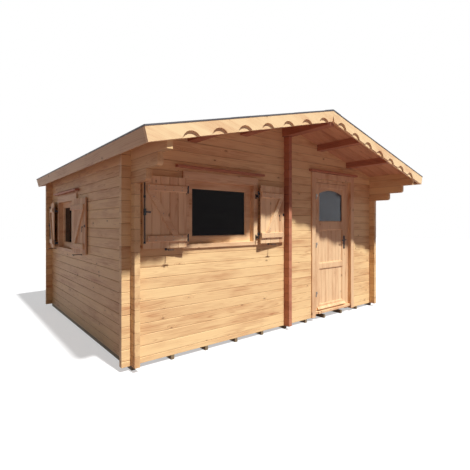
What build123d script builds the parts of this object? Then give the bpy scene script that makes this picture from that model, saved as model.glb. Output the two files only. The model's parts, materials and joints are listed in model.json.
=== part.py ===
from build123d import *
import os
from math import atan2, cos, degrees, hypot, radians, sin, tan

# Log cabin with interlocking corners, a low gabled roof that oversails the front,
# a half-glazed door and two shuttered windows.
# Millimetres. +X runs right along the front wall, +Y runs to the back, +Z is up.
# The origin is on the ground, in the middle of the cabin's bounding box.

# Logs
course = 114.0
log_thickness = 58.0
log_groove = 5.0
log_end = 95.0
wall_width = 4500.0
wall_depth = 3560.0

# Ground frame and floor
bearer_count = 11
bearer_width = 40.0
bearer_height = 50.0
floor_thickness = 19.0
floor_gap = 5.0

# Roof
roof_angle = 13.93
eave_above_door = 96.0
side_overhang = 218.0
front_overhang = 795.0
back_overhang = 115.0
roof_board_thickness = 19.0
felt_thickness = 3.0
felt_lip = 12.0
capping_width = 160.0
purlin_width = 120.0
purlin_depth = 76.0
purlin_spacing = 765.0
ridge_beam_width = 130.0
ridge_beam_depth = 166.0
fascia_thickness = 20.0
fascia_depth = 138.0

# Bargeboards
barge_inner_thickness = 20.0
barge_outer_thickness = 19.0
barge_depth = 138.0
barge_mitre_gap = 26.0
scallop_count = 7
scallop_spacing = 317.0
scallop_from_ridge = 227.0
scallop_radius = 100.0
scallop_height = 57.0

# Eave corbels: side logs that step out under the front overhang
corbel_drop = 3
corbel_lower_reach = 355.0
corbel_upper_reach = 585.0
corbel_rounding = 38.0

# Joinery shared by the door and the windows
casing_thickness = 20.0
lining_thickness = 20.0
frame_back = 98.0
drip_fall = 10.0
drip_reach = 62.0
piece_gap = 0.3
cut_margin = 1.0
moving_gap = 5.0

# Door, from the right wall's outer face
door_from_right = 1135.0
door_leaf_width = 765.0
door_leaf_bottom = 78.0
door_leaf_height = 1977.0
door_leaf_thickness = 40.0
door_setback = 40.0
door_frame_head = 49.0
door_stile_width = 74.0
door_top_rail = 65.0
door_lock_rail = 125.0
door_mid_rail = 77.0
door_bottom_rail = 80.0
door_glass_height = 540.0
door_upper_panel_height = 530.0
door_panel_thickness = 18.0
door_panel_setback = 14.0
door_board_count = 7
door_board_groove = 4.0
door_stop_overlap = 14.0
door_stop_thickness = 15.0
door_casing_width = 85.0
door_head_casing = 91.0
door_drip_overhang = 52.0
door_drip_gap = 5.0
door_drip_thickness = 40.0
door_frame_reveal = 85.5
threshold_bottom = 38.0
threshold_thickness = 34.0
glass_thickness = 4.0
arch_rise = 62.0
arch_spring_depth = 105.0
arch_board_thickness = 8.0

# Door ironware
hinge_radius = 6.0
hinge_standoff = 6.5
hinge_height = 76.0
rod_sides = 10
hinge_plate_thickness = 3.0
hinge_plate_width = 34.0
hinge_half_gap = 0.5
hinge_edge_offset = 2.5
door_hinge_heights = (250.0, 1010.0, 1760.0)
handle_plate_height = 220.0
handle_plate_width = 38.0
handle_plate_thickness = 5.0
handle_centre_height = 1110.0
handle_edge_distance = 32.0
lever_radius = 8.0
lever_reach = 48.0
lever_length = 115.0
lever_height_in_plate = 150.0

# Windows
window_clear_height = 720.0
window_sash_width = 75.0
window_sash_setback = 46.0
window_sash_thickness = 42.0
window_casing_width = 76.0
window_head_casing = 96.0
window_sill_height = 45.0
window_drip_overhang = 88.0
window_drip_gap = 30.0
window_drip_thickness = 35.0
front_window_offset = 10.5
window_below_door_top = 197.0
side_shutter_gap = 17.8
side_window_drop = 152.0

# Shutters
shutter_side_gap = 45.3
shutter_lap = 8.5
shutter_height = 752.0
shutter_board_thickness = 20.0
shutter_board_count = 5
shutter_board_groove = 3.0
shutter_ledge_thickness = 20.0
shutter_ledge_height = 72.0
shutter_ledge_inset = 43.0
shutter_lower_ledge = 66.0
shutter_upper_ledge = 592.0
shutter_brace_run = 71.0
shutter_lean = 6.0
shutter_pin_standoff = 66.0
shutter_pin_offset = 30.0
shutter_meeting_gap = 8.0
shutter_drop = 26.0
shutter_pin_radius = 7.0
shutter_pin_arm = 10.0
shutter_strap_length = 150.0
shutter_strap_height = 26.0
shutter_strap_thickness = 4.0
shutter_knuckle_height = 42.0
bolt_rod_radius = 6.0
bolt_rod_gap = 2.0
bolt_rod_length = 650.0
bolt_rod_edge_distance = 20.0
bolt_guide_size = 22.0
bolt_guide_height = 16.0
bolt_guide_shares = (-1.0, 0.0, 0.5, 1.0)
bolt_lock_share = 0.25
bolt_handle_length = 62.0
bolt_handle_height = 26.0
latch_size = 34.0
hook_height = 84.0
hook_width = 16.0
hook_edge_distance = 112.0
holdback_reach = 118.0
holdback_width = 12.0
holdback_thickness = 8.0
holdback_gap = 12.0
holdback_along = 240.0
holdback_bar = 76.0
holdback_bar_height = 13.0


def deck_top(x):
    """Height of the roof boards' upper face."""
    return ridge_z - abs(x) * roof_tan


def deck_underside(x):
    """Height of the roof boards' lower face."""
    return deck_top(x) - deck_underside_drop


# Worked-out places in the cabin's own frame
left_x = -wall_width / 2
right_x = wall_width / 2
front_y = (front_overhang - wall_depth - back_overhang) / 2
back_y = front_y + wall_depth
base_z = bearer_height
door_opening_height = door_leaf_bottom + door_leaf_height + moving_gap + door_frame_head
door_opening_top = base_z + door_opening_height
door_middle = right_x - door_from_right
eave_height = door_opening_height + eave_above_door
roof_tan = tan(radians(roof_angle))
roof_cos = cos(radians(roof_angle))
roof_sin = sin(radians(roof_angle))
half_span = wall_width / 2 + side_overhang
slope_length = half_span / roof_cos
ridge_z = base_z + eave_height + half_span * roof_tan
roof_front_y = front_y - front_overhang
roof_back_y = back_y + back_overhang
barge_back_y = roof_front_y + barge_outer_thickness + barge_inner_thickness
back_barge_y = roof_back_y - barge_inner_thickness
deck_underside_drop = roof_board_thickness / roof_cos

# A pair of open shutters fills the bay between a corner and the cross logs.
bay_width = wall_width / 2 - 1.5 * log_thickness
shutter_reach = bay_width / 2 - shutter_side_gap
shutter_fold = cos(radians(shutter_lean))
shutter_width = (shutter_reach - shutter_meeting_gap / 2) / (1 + shutter_fold) - shutter_pin_offset
window_clear_width = 2 * (shutter_width - shutter_lap) + shutter_meeting_gap
front_window_middle = left_x + log_thickness + bay_width / 2 + front_window_offset
side_window_middle = wall_depth - log_thickness - side_shutter_gap - shutter_reach
front_window_bottom = door_opening_height - window_below_door_top - window_clear_height
side_window_bottom = front_window_bottom - side_window_drop

# Log courses, counted from the ground frame up
side_wall_top = deck_underside(wall_width / 2)
corbel_first_course = int((side_wall_top - base_z) // course) - corbel_drop
top_split_z = base_z + corbel_first_course * course
course_count = int((ridge_z - base_z) // course) + 1


def block(x0, x1, y0, y1, z0, z1):
    """A box between two corners."""
    return Pos((x0 + x1) / 2, (y0 + y1) / 2, (z0 + z1) / 2) * Box(x1 - x0, y1 - y0, z1 - z0)


def rod(x, y, z0, z1, radius):
    """An upright round bar, forged with flats."""
    return extrude(Plane.XY.offset(z0) * Pos(x, y) * RegularPolygon(radius, rod_sides), amount=z1 - z0)


def prism_xz(points, y0, y1):
    """A closed outline in X and Z, carried from y0 to y1."""
    face = Plane.XZ.offset(-y1) * make_face(Polyline(*points, close=True))
    return extrude(face, amount=y1 - y0)


def prism_yz(points, x0, x1):
    """A closed outline in Y and Z, carried from x0 to x1."""
    face = Plane.YZ.offset(x0) * make_face(Polyline(*points, close=True))
    return extrude(face, amount=x1 - x0)


def log_outline(first_face, bottom, top, joints, first_grooved, second_grooved):
    """Section of a wall of stacked logs, with a small groove at every joint of its outer faces."""
    second_face = first_face + log_thickness
    inside = [z for z in joints if bottom + log_groove < z < top - log_groove]
    up = [(first_face, bottom)]
    down = [(second_face, bottom)]
    for z in inside:
        if first_grooved:
            deep = first_face + log_groove
            up += [(first_face, z - log_groove), (deep, z), (first_face, z + log_groove)]
        if second_grooved:
            deep = second_face - log_groove
            down += [(second_face, z - log_groove), (deep, z), (second_face, z + log_groove)]
    return up + [(first_face, top), (second_face, top)] + down[::-1]


# Front and back walls start with a half log, so their joints lie half a course
# off those of the side walls, and the corners interlock.
gable_joints = [base_z + (i + 0.5) * course for i in range(course_count)]
side_joints = [base_z + (i + 1) * course for i in range(course_count)]


def slope_point(distance, depth, side):
    """A point that far down the slope from the ridge, and that deep under its top."""
    x = distance * roof_cos - depth * roof_sin
    return (side * x, ridge_z - distance * roof_sin - depth * roof_cos)


def slope_piece(distance, upper, lower, y0, y1, side):
    """A piece on one slope, mitred upright at the ridge and square at its outer end."""
    outline = [(0.0, ridge_z - upper / roof_cos), slope_point(distance, upper, side),
               slope_point(distance, lower, side), (0.0, ridge_z - lower / roof_cos)]
    return prism_xz(outline, y0, y1)


def under_roof():
    """All the space below the roof boards."""
    reach = half_span + log_end
    outline = [(-reach, deck_underside(reach)), (0.0, deck_underside(0.0)), (reach, deck_underside(reach)),
               (reach, 0.0), (-reach, 0.0)]
    return prism_xz(outline, roof_front_y, roof_back_y)


def corner_notches(x0, y0, for_side_wall):
    """The halvings in one crossing: each log keeps the middle half of its height there."""
    cuts = []
    for i in range(course_count):
        middle = base_z + (i if for_side_wall else i + 0.5) * course
        low = max(middle - course / 4, base_z - course)
        cuts.append(block(x0, x0 + log_thickness, y0, y0 + log_thickness, low, middle + course / 4))
    return cuts


def beam(x, width, depth, y0, y1):
    """A roof beam whose top is cut to the roof's slope."""
    half = width / 2
    bottom = deck_underside(x) - depth
    top = [(x - half, deck_underside(x - half))]
    if abs(x) < half:
        top.append((0.0, deck_underside(0.0)))
    top.append((x + half, deck_underside(x + half)))
    return prism_xz(top + [(x + half, bottom), (x - half, bottom)], y0, y1)


def roof_beams():
    """Ridge beam and four purlins, from bargeboard to bargeboard."""
    ends = (barge_back_y, back_barge_y)
    ridge = beam(0.0, ridge_beam_width, ridge_beam_depth, *ends)
    purlins = [beam(n * purlin_spacing, purlin_width, purlin_depth, *ends) for n in (-2, -1, 1, 2)]
    return ridge, purlins


def door_opening():
    """Edges of the hole in the front wall for the door frame."""
    half = door_leaf_width / 2 + door_frame_reveal + lining_thickness
    middle = door_middle
    return middle - half, middle + half


def window_opening(centre, bottom):
    """Edges of the hole for a window lining, along the wall and in height."""
    half = window_clear_width / 2 + lining_thickness
    low = base_z + bottom - lining_thickness
    return centre - half, centre + half, low, low + window_clear_height + 2 * lining_thickness


def gable_wall(face_y, beams):
    """A whole front or back wall up to the roof, before its openings."""
    is_front = face_y < 0
    outline = log_outline(face_y, base_z, ridge_z, gable_joints, is_front, not is_front)
    wall = prism_yz(outline, left_x - log_end, right_x + log_end)
    wall = wall & under_roof()
    for x0 in (left_x, right_x - log_thickness, -log_thickness / 2):
        wall = wall - corner_notches(x0, face_y, False)
    return wall - beams


def front_wall_nodes(beams):
    """The front wall, split beside and under its openings, and its gable."""
    wall = gable_wall(front_y, beams)
    door_l, door_r = door_opening()
    win_l, win_r, win_low, win_high = window_opening(front_window_middle, front_window_bottom)
    y0, y1 = front_y - cut_margin, front_y + log_thickness + cut_margin
    end_l, end_r = left_x - log_end, right_x + log_end
    split = door_opening_top
    return {
        "front_wall_left": wall & block(end_l, win_l, y0, y1, base_z, split),
        "front_wall_at_window": [wall & block(win_l, win_r, y0, y1, base_z, win_low),
                                 wall & block(win_l, win_r, y0, y1, win_high, split)],
        "front_wall_middle": wall & block(win_r, door_l, y0, y1, base_z, split),
        "front_wall_right": wall & block(door_r, end_r, y0, y1, base_z, split),
        "front_gable": wall & block(end_l, end_r, y0, y1, split, ridge_z),
    }


def corbel_end(x0, level, reach):
    """The part of a side log that runs out under the overhang, rounded below its end."""
    low = base_z + level * course
    high = low + course
    tip = front_y - reach
    root = front_y
    with BuildSketch(Plane.YZ.offset(x0)) as outline:
        with BuildLine():
            Line((root, low), (tip + corbel_rounding, low))
            RadiusArc((tip + corbel_rounding, low), (tip, low + corbel_rounding), corbel_rounding)
            Polyline((tip, low + corbel_rounding), (tip, high), (root, high), (root, low))
        make_face()
    return extrude(outline.sketch, amount=log_thickness)


def side_wall(x0):
    """A whole side wall with its top log, its log ends and its corbels."""
    ends = (front_y - log_end, back_y + log_end)
    faces = (x0 < 0, x0 > 0)
    wall = prism_xz(log_outline(x0, base_z, ridge_z, side_joints, *faces), *ends)
    low = base_z + (corbel_first_course + 2) * course
    wall = wall + prism_xz(log_outline(x0, low, ridge_z, side_joints, *faces), barge_back_y, front_y)
    wall = wall + prism_xz(log_outline(x0, low + course, ridge_z, side_joints, *faces), back_y, back_barge_y)
    wall = wall + corbel_end(x0, corbel_first_course, corbel_lower_reach)
    wall = wall + corbel_end(x0, corbel_first_course + 1, corbel_upper_reach)
    wall = wall & under_roof()
    for face_y in (front_y, back_y - log_thickness):
        wall = wall - corner_notches(x0, face_y, True)
    return wall


def left_wall_nodes():
    """The left wall, split round its window."""
    wall = side_wall(left_x)
    near, far, low, high = window_opening(front_y + side_window_middle, side_window_bottom)
    x0, x1 = left_x - cut_margin, left_x + log_thickness + cut_margin
    return {
        "left_wall_front": wall & block(x0, x1, roof_front_y, near, base_z, high),
        "left_wall_below_window": wall & block(x0, x1, near, far, base_z, low),
        "left_wall_back": wall & block(x0, x1, far, roof_back_y, base_z, high),
        "left_wall_top": wall & block(x0, x1, roof_front_y, roof_back_y, high, ridge_z),
    }


def right_wall_nodes():
    """The plain right wall and its top logs."""
    x0 = right_x - log_thickness
    wall = side_wall(x0)
    around = (x0 - cut_margin, right_x + cut_margin, roof_front_y, roof_back_y)
    return {
        "right_wall": wall & block(*around, base_z, top_split_z),
        "right_wall_top": wall & block(*around, top_split_z, ridge_z),
    }


def cross_logs(face_y):
    """The stack of short logs that crosses a gable wall under the ridge beam."""
    x0 = -log_thickness / 2
    top = deck_underside(0.0) - ridge_beam_depth
    outline = log_outline(x0, base_z, top, side_joints, True, True)
    stack = prism_xz(outline, face_y - log_end, face_y + log_thickness + log_end)
    return stack - corner_notches(x0, face_y, True)


def floor_bearers():
    """Treated bearers from front to back, the outer two under the side walls."""
    first = left_x + log_thickness / 2
    pitch = (wall_width - log_thickness) / (bearer_count - 1)
    half = bearer_width / 2
    return [block(first + i * pitch - half, first + i * pitch + half, front_y, back_y, 0.0, bearer_height)
            for i in range(bearer_count)]


def floor_boards():
    """The boarded floor, notched round the cross logs' inner ends and the door frame."""
    edge = log_thickness + floor_gap
    floor = block(left_x + edge, right_x - edge, front_y + edge, back_y - edge,
                  base_z, base_z + floor_thickness)
    half = log_thickness / 2 + floor_gap
    reach = log_thickness + log_end + floor_gap
    for y0, y1 in ((front_y, front_y + reach), (back_y - reach, back_y)):
        floor = floor - block(-half, half, y0, y1, 0.0, base_z + course)
    door_l, door_r = door_opening()
    return floor - block(door_l - floor_gap, door_r + floor_gap, front_y, front_y + frame_back + floor_gap,
                         0.0, base_z + course)


def roof_boards(side):
    """One slope of roof boards, from the ridge to the back of the fascia."""
    return slope_piece(slope_length - fascia_thickness, 0.0, roof_board_thickness,
                       barge_back_y, back_barge_y, side)


def roofing_felt():
    """A felt covering on each slope, turned down over the edge boards all round."""
    reach = slope_length + felt_thickness
    y0, y1 = roof_front_y - felt_thickness, roof_back_y + felt_thickness
    seam = block(-piece_gap / 2, piece_gap / 2, y0, y1, 0.0, ridge_z + fascia_depth)
    coverings = []
    for side in (-1, 1):
        covering = slope_piece(reach, -felt_thickness, 0.0, y0, y1, side)
        covering = covering + slope_piece(reach, 0.0, felt_lip, y0, roof_front_y, side)
        covering = covering + slope_piece(reach, 0.0, felt_lip, roof_back_y, y1, side)
        eave_lip = [slope_point(slope_length, 0.0, side), slope_point(reach, 0.0, side),
                    slope_point(reach, felt_lip, side), slope_point(slope_length, felt_lip, side)]
        coverings.append(covering + prism_xz(eave_lip, y0, y1) - seam)
    return coverings


def ridge_capping():
    """A strip of felt folded over the ridge."""
    upper, lower = -2 * felt_thickness, -felt_thickness
    outline = [slope_point(capping_width, upper, -1), (0.0, ridge_z - upper / roof_cos),
               slope_point(capping_width, upper, 1), slope_point(capping_width, lower, 1),
               (0.0, ridge_z - lower / roof_cos), slope_point(capping_width, lower, -1)]
    return prism_xz(outline, roof_front_y - felt_thickness, roof_back_y + felt_thickness)


def eave_fascias():
    """A plain board along each eave, square to the slope."""
    boards = []
    for side in (-1, 1):
        inner = slope_length - fascia_thickness
        outline = [slope_point(inner, 0.0, side), slope_point(slope_length, 0.0, side),
                   slope_point(slope_length, fascia_depth, side), slope_point(inner, fascia_depth, side)]
        boards.append(prism_xz(outline, barge_back_y, back_barge_y))
    return boards


def scalloped_board(side):
    """An outer bargeboard with arcs cut out of its lower edge."""
    y0, y1 = roof_front_y, roof_front_y + barge_outer_thickness
    board = slope_piece(slope_length, 0.0, barge_depth, y0, y1, side)
    centre_depth = barge_depth - scallop_height + scallop_radius
    arcs = []
    for i in range(scallop_count):
        x, z = slope_point(scallop_from_ridge + i * scallop_spacing, centre_depth, side)
        arc = Rot(90, 0, 0) * Cylinder(scallop_radius, 2 * barge_outer_thickness)
        arcs.append(Pos(x, (y0 + y1) / 2, z) * arc)
    return board - arcs - mitre_gap(y0, y1)


def mitre_gap(y0, y1):
    """The opening mitre between two bargeboards: a hair wide at the ridge, and wide at the foot."""
    low = deck_top(0.0) - barge_depth / roof_cos
    hair, wide = piece_gap / 2, barge_mitre_gap / 2
    high, bend, foot = ridge_z + cut_margin, ridge_z - barge_depth / 2, low - cut_margin
    outline = [(-hair, high), (hair, high), (hair, bend), (wide, foot), (-wide, foot), (-hair, bend)]
    return prism_xz(outline, y0, y1)


def plain_boards(y0, y1):
    """A pair of plain bargeboards with their mitre."""
    gap = mitre_gap(y0, y1)
    return [slope_piece(slope_length, 0.0, barge_depth, y0, y1, side) - gap for side in (-1, 1)]


def door_frame():
    """Linings, stiles with their stop, head and threshold."""
    out_l, out_r = door_opening()
    leaf_l = door_middle - door_leaf_width / 2
    leaf_r = leaf_l + door_leaf_width
    face = front_y + door_setback
    back = front_y + frame_back
    stop = face + door_leaf_thickness + moving_gap
    leaf_top = base_z + door_leaf_bottom + door_leaf_height
    head_low = leaf_top + moving_gap
    top = door_opening_top
    parts = []
    for edge, inner, sign in ((out_l, leaf_l - moving_gap, 1), (out_r, leaf_r + moving_gap, -1)):
        lining = edge + sign * lining_thickness
        lip = inner + sign * (door_stop_overlap + moving_gap)
        outline = [(edge, front_y), (lining, front_y), (lining, face), (inner, face), (inner, stop),
                   (lip, stop), (lip, back), (edge, back)]
        section = Plane.XY.offset(base_z) * make_face(Polyline(*outline, close=True))
        parts.append(extrude(section, amount=top - base_z))
    inner_l, inner_r = leaf_l - moving_gap + piece_gap, leaf_r + moving_gap - piece_gap
    head = block(inner_l, inner_r, face, back, head_low, top)
    lip_l = leaf_l + door_stop_overlap + piece_gap
    lip_r = leaf_r - door_stop_overlap - piece_gap
    beside_lips = [block(inner_l - cut_margin, lip_l, stop, back + cut_margin, 0.0, ridge_z),
                   block(lip_r, inner_r + cut_margin, stop, back + cut_margin, 0.0, ridge_z)]
    head = head - beside_lips
    head = head + block(lip_l, lip_r, stop, back, head_low - door_stop_overlap, head_low)
    parts.append(head)
    cover_l, cover_r = out_l + lining_thickness + piece_gap, out_r - lining_thickness - piece_gap
    low = base_z + threshold_bottom
    sill = block(inner_l, inner_r, front_y - casing_thickness, back, low, low + threshold_thickness)
    sill = sill - beside_lips
    sill = sill + block(cover_l, cover_r, front_y, face - piece_gap, low, low + threshold_thickness)
    parts.append(sill)
    return parts


def door_casing():
    """Two upright casings, the head casing and the drip board over it."""
    out_l, out_r = door_opening()
    inner_l, inner_r = out_l + lining_thickness, out_r - lining_thickness
    y0, y1 = front_y - casing_thickness, front_y
    outer_l, outer_r = inner_l - door_casing_width, inner_r + door_casing_width
    head_low = door_opening_top
    head_high = head_low + door_head_casing
    drip_low = head_high + door_drip_gap
    return [
        block(outer_l, inner_l, y0, y1, base_z, head_low - piece_gap),
        block(inner_r, outer_r, y0, y1, base_z, head_low - piece_gap),
        block(outer_l, outer_r, y0, y1, head_low, head_high),
        drip_board(outer_l - door_drip_overhang, outer_r + door_drip_overhang, drip_low, door_drip_thickness),
    ]


def drip_board(x0, x1, low, thickness):
    """A weather board over the front wall's joinery, its top falling outwards."""
    y0 = front_y - drip_reach
    outline = [(front_y, low), (y0, low), (y0, low + thickness - drip_fall), (front_y, low + thickness)]
    return prism_yz(outline, x0, x1)


def door_levels():
    """Heights of the door leaf's rails, from its bottom up."""
    z0 = base_z + door_leaf_bottom
    lower_low = z0 + door_bottom_rail
    glass_high = z0 + door_leaf_height - door_top_rail
    glass_low = glass_high - door_glass_height
    upper_high = glass_low - door_lock_rail
    upper_low = upper_high - door_upper_panel_height
    lower_high = upper_low - door_mid_rail
    return z0, lower_low, lower_high, upper_low, upper_high, glass_low, glass_high


def door_leaf_faces():
    """The leaf's edges in plan."""
    x0 = door_middle - door_leaf_width / 2
    y0 = front_y + door_setback
    return x0, x0 + door_leaf_width, y0, y0 + door_leaf_thickness


def door_leaf():
    """The leaf's stiles, rails and arch, with two panel openings and the glazed one."""
    x0, x1, y0, y1 = door_leaf_faces()
    z0, lower_low, lower_high, upper_low, upper_high, glass_low, glass_high = door_levels()
    leaf = block(x0, x1, y0, y1, z0, z0 + door_leaf_height)
    for low, high in ((lower_low, lower_high), (upper_low, upper_high), (glass_low, glass_high)):
        leaf = leaf - block(x0 + door_stile_width, x1 - door_stile_width,
                            y0 - cut_margin, y1 + cut_margin, low, high)
    return leaf + door_arch()


def door_panels():
    """Two boarded panels with a groove at each board joint."""
    x0, x1, y0, y1 = door_leaf_faces()
    z0, lower_low, lower_high, upper_low, upper_high, glass_low, glass_high = door_levels()
    left, right = x0 + door_stile_width, x1 - door_stile_width
    face = y0 + door_panel_setback
    back = face + door_panel_thickness
    pitch = (right - left) / door_board_count
    outline = [(left, face)]
    for i in range(1, door_board_count):
        x = left + i * pitch
        outline.append((x - door_board_groove, face))
        outline.append((x, face + door_board_groove))
        outline.append((x + door_board_groove, face))
    outline += [(right, face), (right, back), (left, back)]
    section = make_face(Polyline(*outline, close=True))
    return [extrude(Plane.XY.offset(low) * section, amount=high - low)
            for low, high in ((lower_low, lower_high), (upper_low, upper_high))]


def door_glass():
    """The pane in the leaf's upper opening."""
    x0, x1, y0, y1 = door_leaf_faces()
    glass_low, glass_high = door_levels()[5:]
    middle = (y0 + y1) / 2
    return block(x0 + door_stile_width, x1 - door_stile_width, middle, middle + glass_thickness,
                 glass_low, glass_high)


def door_arch():
    """The arched board in front of the top of the pane."""
    x0, x1, y0, y1 = door_leaf_faces()
    glass_low, glass_high = door_levels()[5:]
    left, right = x0 + door_stile_width, x1 - door_stile_width
    spring = glass_high - arch_spring_depth
    crown = spring + arch_rise
    face = (y0 + y1) / 2 - arch_board_thickness
    with BuildSketch(Plane.XZ.offset(-(face + arch_board_thickness))) as outline:
        with BuildLine():
            ThreePointArc((left, spring), ((left + right) / 2, crown), (right, spring))
            Polyline((right, spring), (right, glass_high), (left, glass_high), (left, spring))
        make_face()
    return extrude(outline.sketch, amount=arch_board_thickness)


def door_pin():
    """The door's hinge axis in plan."""
    x0, x1, y0, y1 = door_leaf_faces()
    return x0 - hinge_edge_offset, y0 - hinge_standoff


def door_hinges(on_leaf):
    """One half of each butt hinge: a knuckle on the pin and its plate."""
    x0, x1, y0, y1 = door_leaf_faces()
    x, y = door_pin()
    halves = []
    for height in door_hinge_heights:
        middle = base_z + door_leaf_bottom + height
        if on_leaf:
            low, high = middle + hinge_half_gap / 2, middle + hinge_height / 2
            plate = block(x, x + hinge_plate_width, y0 - hinge_plate_thickness, y0, low, high)
        else:
            low, high = middle - hinge_height / 2, middle - hinge_half_gap / 2
            plate = block(x - hinge_plate_width, x, y0 - hinge_plate_thickness, y0, low, high)
        halves.append(rod(x, y, low, high, hinge_radius) + plate)
    return halves


def door_handles():
    """A lever on a long plate on both faces of the leaf."""
    x0, x1, y0, y1 = door_leaf_faces()
    x = x1 - handle_edge_distance
    low = base_z + handle_centre_height - handle_plate_height / 2
    lever_z = low + lever_height_in_plate
    parts = []
    for face, sign in ((y0, -1), (y1, 1)):
        outer = face + sign * handle_plate_thickness
        plate = block(x - handle_plate_width / 2, x + handle_plate_width / 2,
                      min(face, outer), max(face, outer), low, low + handle_plate_height)
        neck_end = face + sign * lever_reach
        neck = Rot(90, 0, 0) * Cylinder(lever_radius, abs(neck_end - outer))
        neck = Pos(x, (outer + neck_end) / 2, lever_z) * neck
        grip = Pos(x - lever_length / 2 + lever_radius, neck_end - sign * lever_radius, lever_z)
        grip = grip * Rot(0, 90, 0) * Cylinder(lever_radius, lever_length)
        parts.append(plate + neck + grip)
    return parts


def window_frame(centre, bottom):
    """A window's lining and sash round the clear opening, as four members, on the front wall."""
    left, right, low, high = window_opening(centre, bottom)
    sash_y0 = front_y + window_sash_setback
    sash_y1 = sash_y0 + window_sash_thickness
    back = front_y + frame_back
    width = lining_thickness + window_sash_width
    members = []
    for edge, sign in ((left, 1), (right, -1)):
        lining = edge + sign * lining_thickness
        inner = edge + sign * width
        outline = [(edge, front_y), (lining, front_y), (lining, sash_y0), (inner, sash_y0), (inner, sash_y1),
                   (lining, sash_y1), (lining, back), (edge, back)]
        face = Plane.XY.offset(low) * make_face(Polyline(*outline, close=True))
        members.append(extrude(face, amount=high - low))
    x0, x1 = left + width + piece_gap, right - width - piece_gap
    lining_l, lining_r = left + lining_thickness + piece_gap, right - lining_thickness - piece_gap
    for edge, sign in ((low, 1), (high, -1)):
        lining_low, lining_high = sorted((edge, edge + sign * lining_thickness))
        inner_low, inner_high = sorted((edge, edge + sign * width))
        rail = block(x0, x1, sash_y0, sash_y1, inner_low, inner_high)
        rail = rail + block(lining_l, lining_r, front_y, sash_y0 - piece_gap, lining_low, lining_high)
        rail = rail + block(lining_l, lining_r, sash_y1 + piece_gap, back, lining_low, lining_high)
        rail = rail + block(x0, x1, sash_y0 - piece_gap, sash_y1 + piece_gap, lining_low, lining_high)
        members.append(rail)
    return members


def window_glass(centre, bottom):
    """The pane of one window, on the front wall."""
    left, right, low, high = window_opening(centre, bottom)
    width = lining_thickness + window_sash_width
    middle = front_y + window_sash_setback + window_sash_thickness / 2
    return block(left + width + piece_gap, right - width - piece_gap, middle, middle + glass_thickness,
                 low + width + piece_gap, high - width - piece_gap)


def window_casing(centre, bottom):
    """Upright casings, head casing, sill and drip board of one window, on the front wall."""
    left, right, low, high = window_opening(centre, bottom)
    inner_l, inner_r = left + lining_thickness, right - lining_thickness
    clear_low, clear_high = low + lining_thickness, high - lining_thickness
    outer_l, outer_r = inner_l - window_casing_width, inner_r + window_casing_width
    y0 = front_y - casing_thickness
    head_high = clear_high + window_head_casing
    return [
        block(outer_l, inner_l, y0, front_y, clear_low + piece_gap, clear_high - piece_gap),
        block(inner_r, outer_r, y0, front_y, clear_low + piece_gap, clear_high - piece_gap),
        block(outer_l, outer_r, y0, front_y, clear_high, head_high),
        block(outer_l, outer_r, y0, front_y, clear_low - window_sill_height, clear_low),
        drip_board(outer_l - window_drip_overhang, outer_r + window_drip_overhang,
                   head_high + window_drip_gap, window_drip_thickness),
    ]


def shutter_pin(centre, hand):
    """A shutter's hinge axis in plan, on the front wall. hand is -1 left, 1 right."""
    reach = shutter_meeting_gap / 2 + shutter_width + shutter_pin_offset
    return centre + hand * reach, front_y - shutter_pin_standoff


def as_open_leaf(shape, centre, hand):
    """Places a leaf drawn along +X from its pin, outer face at Y = 0 and the room at +Y, folded open."""
    x, y = shutter_pin(centre, hand)
    if hand < 0:
        turned = Rot(0, 0, -(180.0 + shutter_lean)) * shape
    else:
        turned = Rot(0, 0, 180.0 + shutter_lean) * mirror(shape, about=Plane.YZ)
    return Pos(x, y, 0) * turned


def shutter_leaf(bottom):
    """A boarded leaf with two ledges and a brace, drawn closed from its pin along +X."""
    x0, x1 = shutter_pin_offset, shutter_pin_offset + shutter_width
    low = base_z + bottom - shutter_drop
    face, back = 0.0, shutter_board_thickness
    pitch = shutter_width / shutter_board_count
    g = shutter_board_groove
    front, rear = [(x0, face)], [(x0, back)]
    for i in range(1, shutter_board_count):
        x = x0 + i * pitch
        front += [(x - g, face), (x, face + g), (x + g, face)]
        rear += [(x - g, back), (x, back - g), (x + g, back)]
    outline = front + [(x1, face), (x1, back)] + rear[::-1]
    leaf = extrude(Plane.XY.offset(low) * make_face(Polyline(*outline[:-1], (x0, back), close=True)),
                   amount=shutter_height)
    inner = back + shutter_ledge_thickness
    ledge_end = x1 - shutter_ledge_inset
    for ledge in (shutter_lower_ledge, shutter_upper_ledge):
        leaf = leaf + block(x0, ledge_end, back, inner, low + ledge, low + ledge + shutter_ledge_height)
    brace_low = low + shutter_lower_ledge + shutter_ledge_height
    brace_high = low + shutter_upper_ledge
    brace = [(x0 + pitch, brace_low), (x0 + pitch + shutter_brace_run, brace_low), (ledge_end, brace_high),
             (ledge_end - shutter_brace_run, brace_high)]
    return leaf + prism_xz(brace, back, inner)


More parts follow.
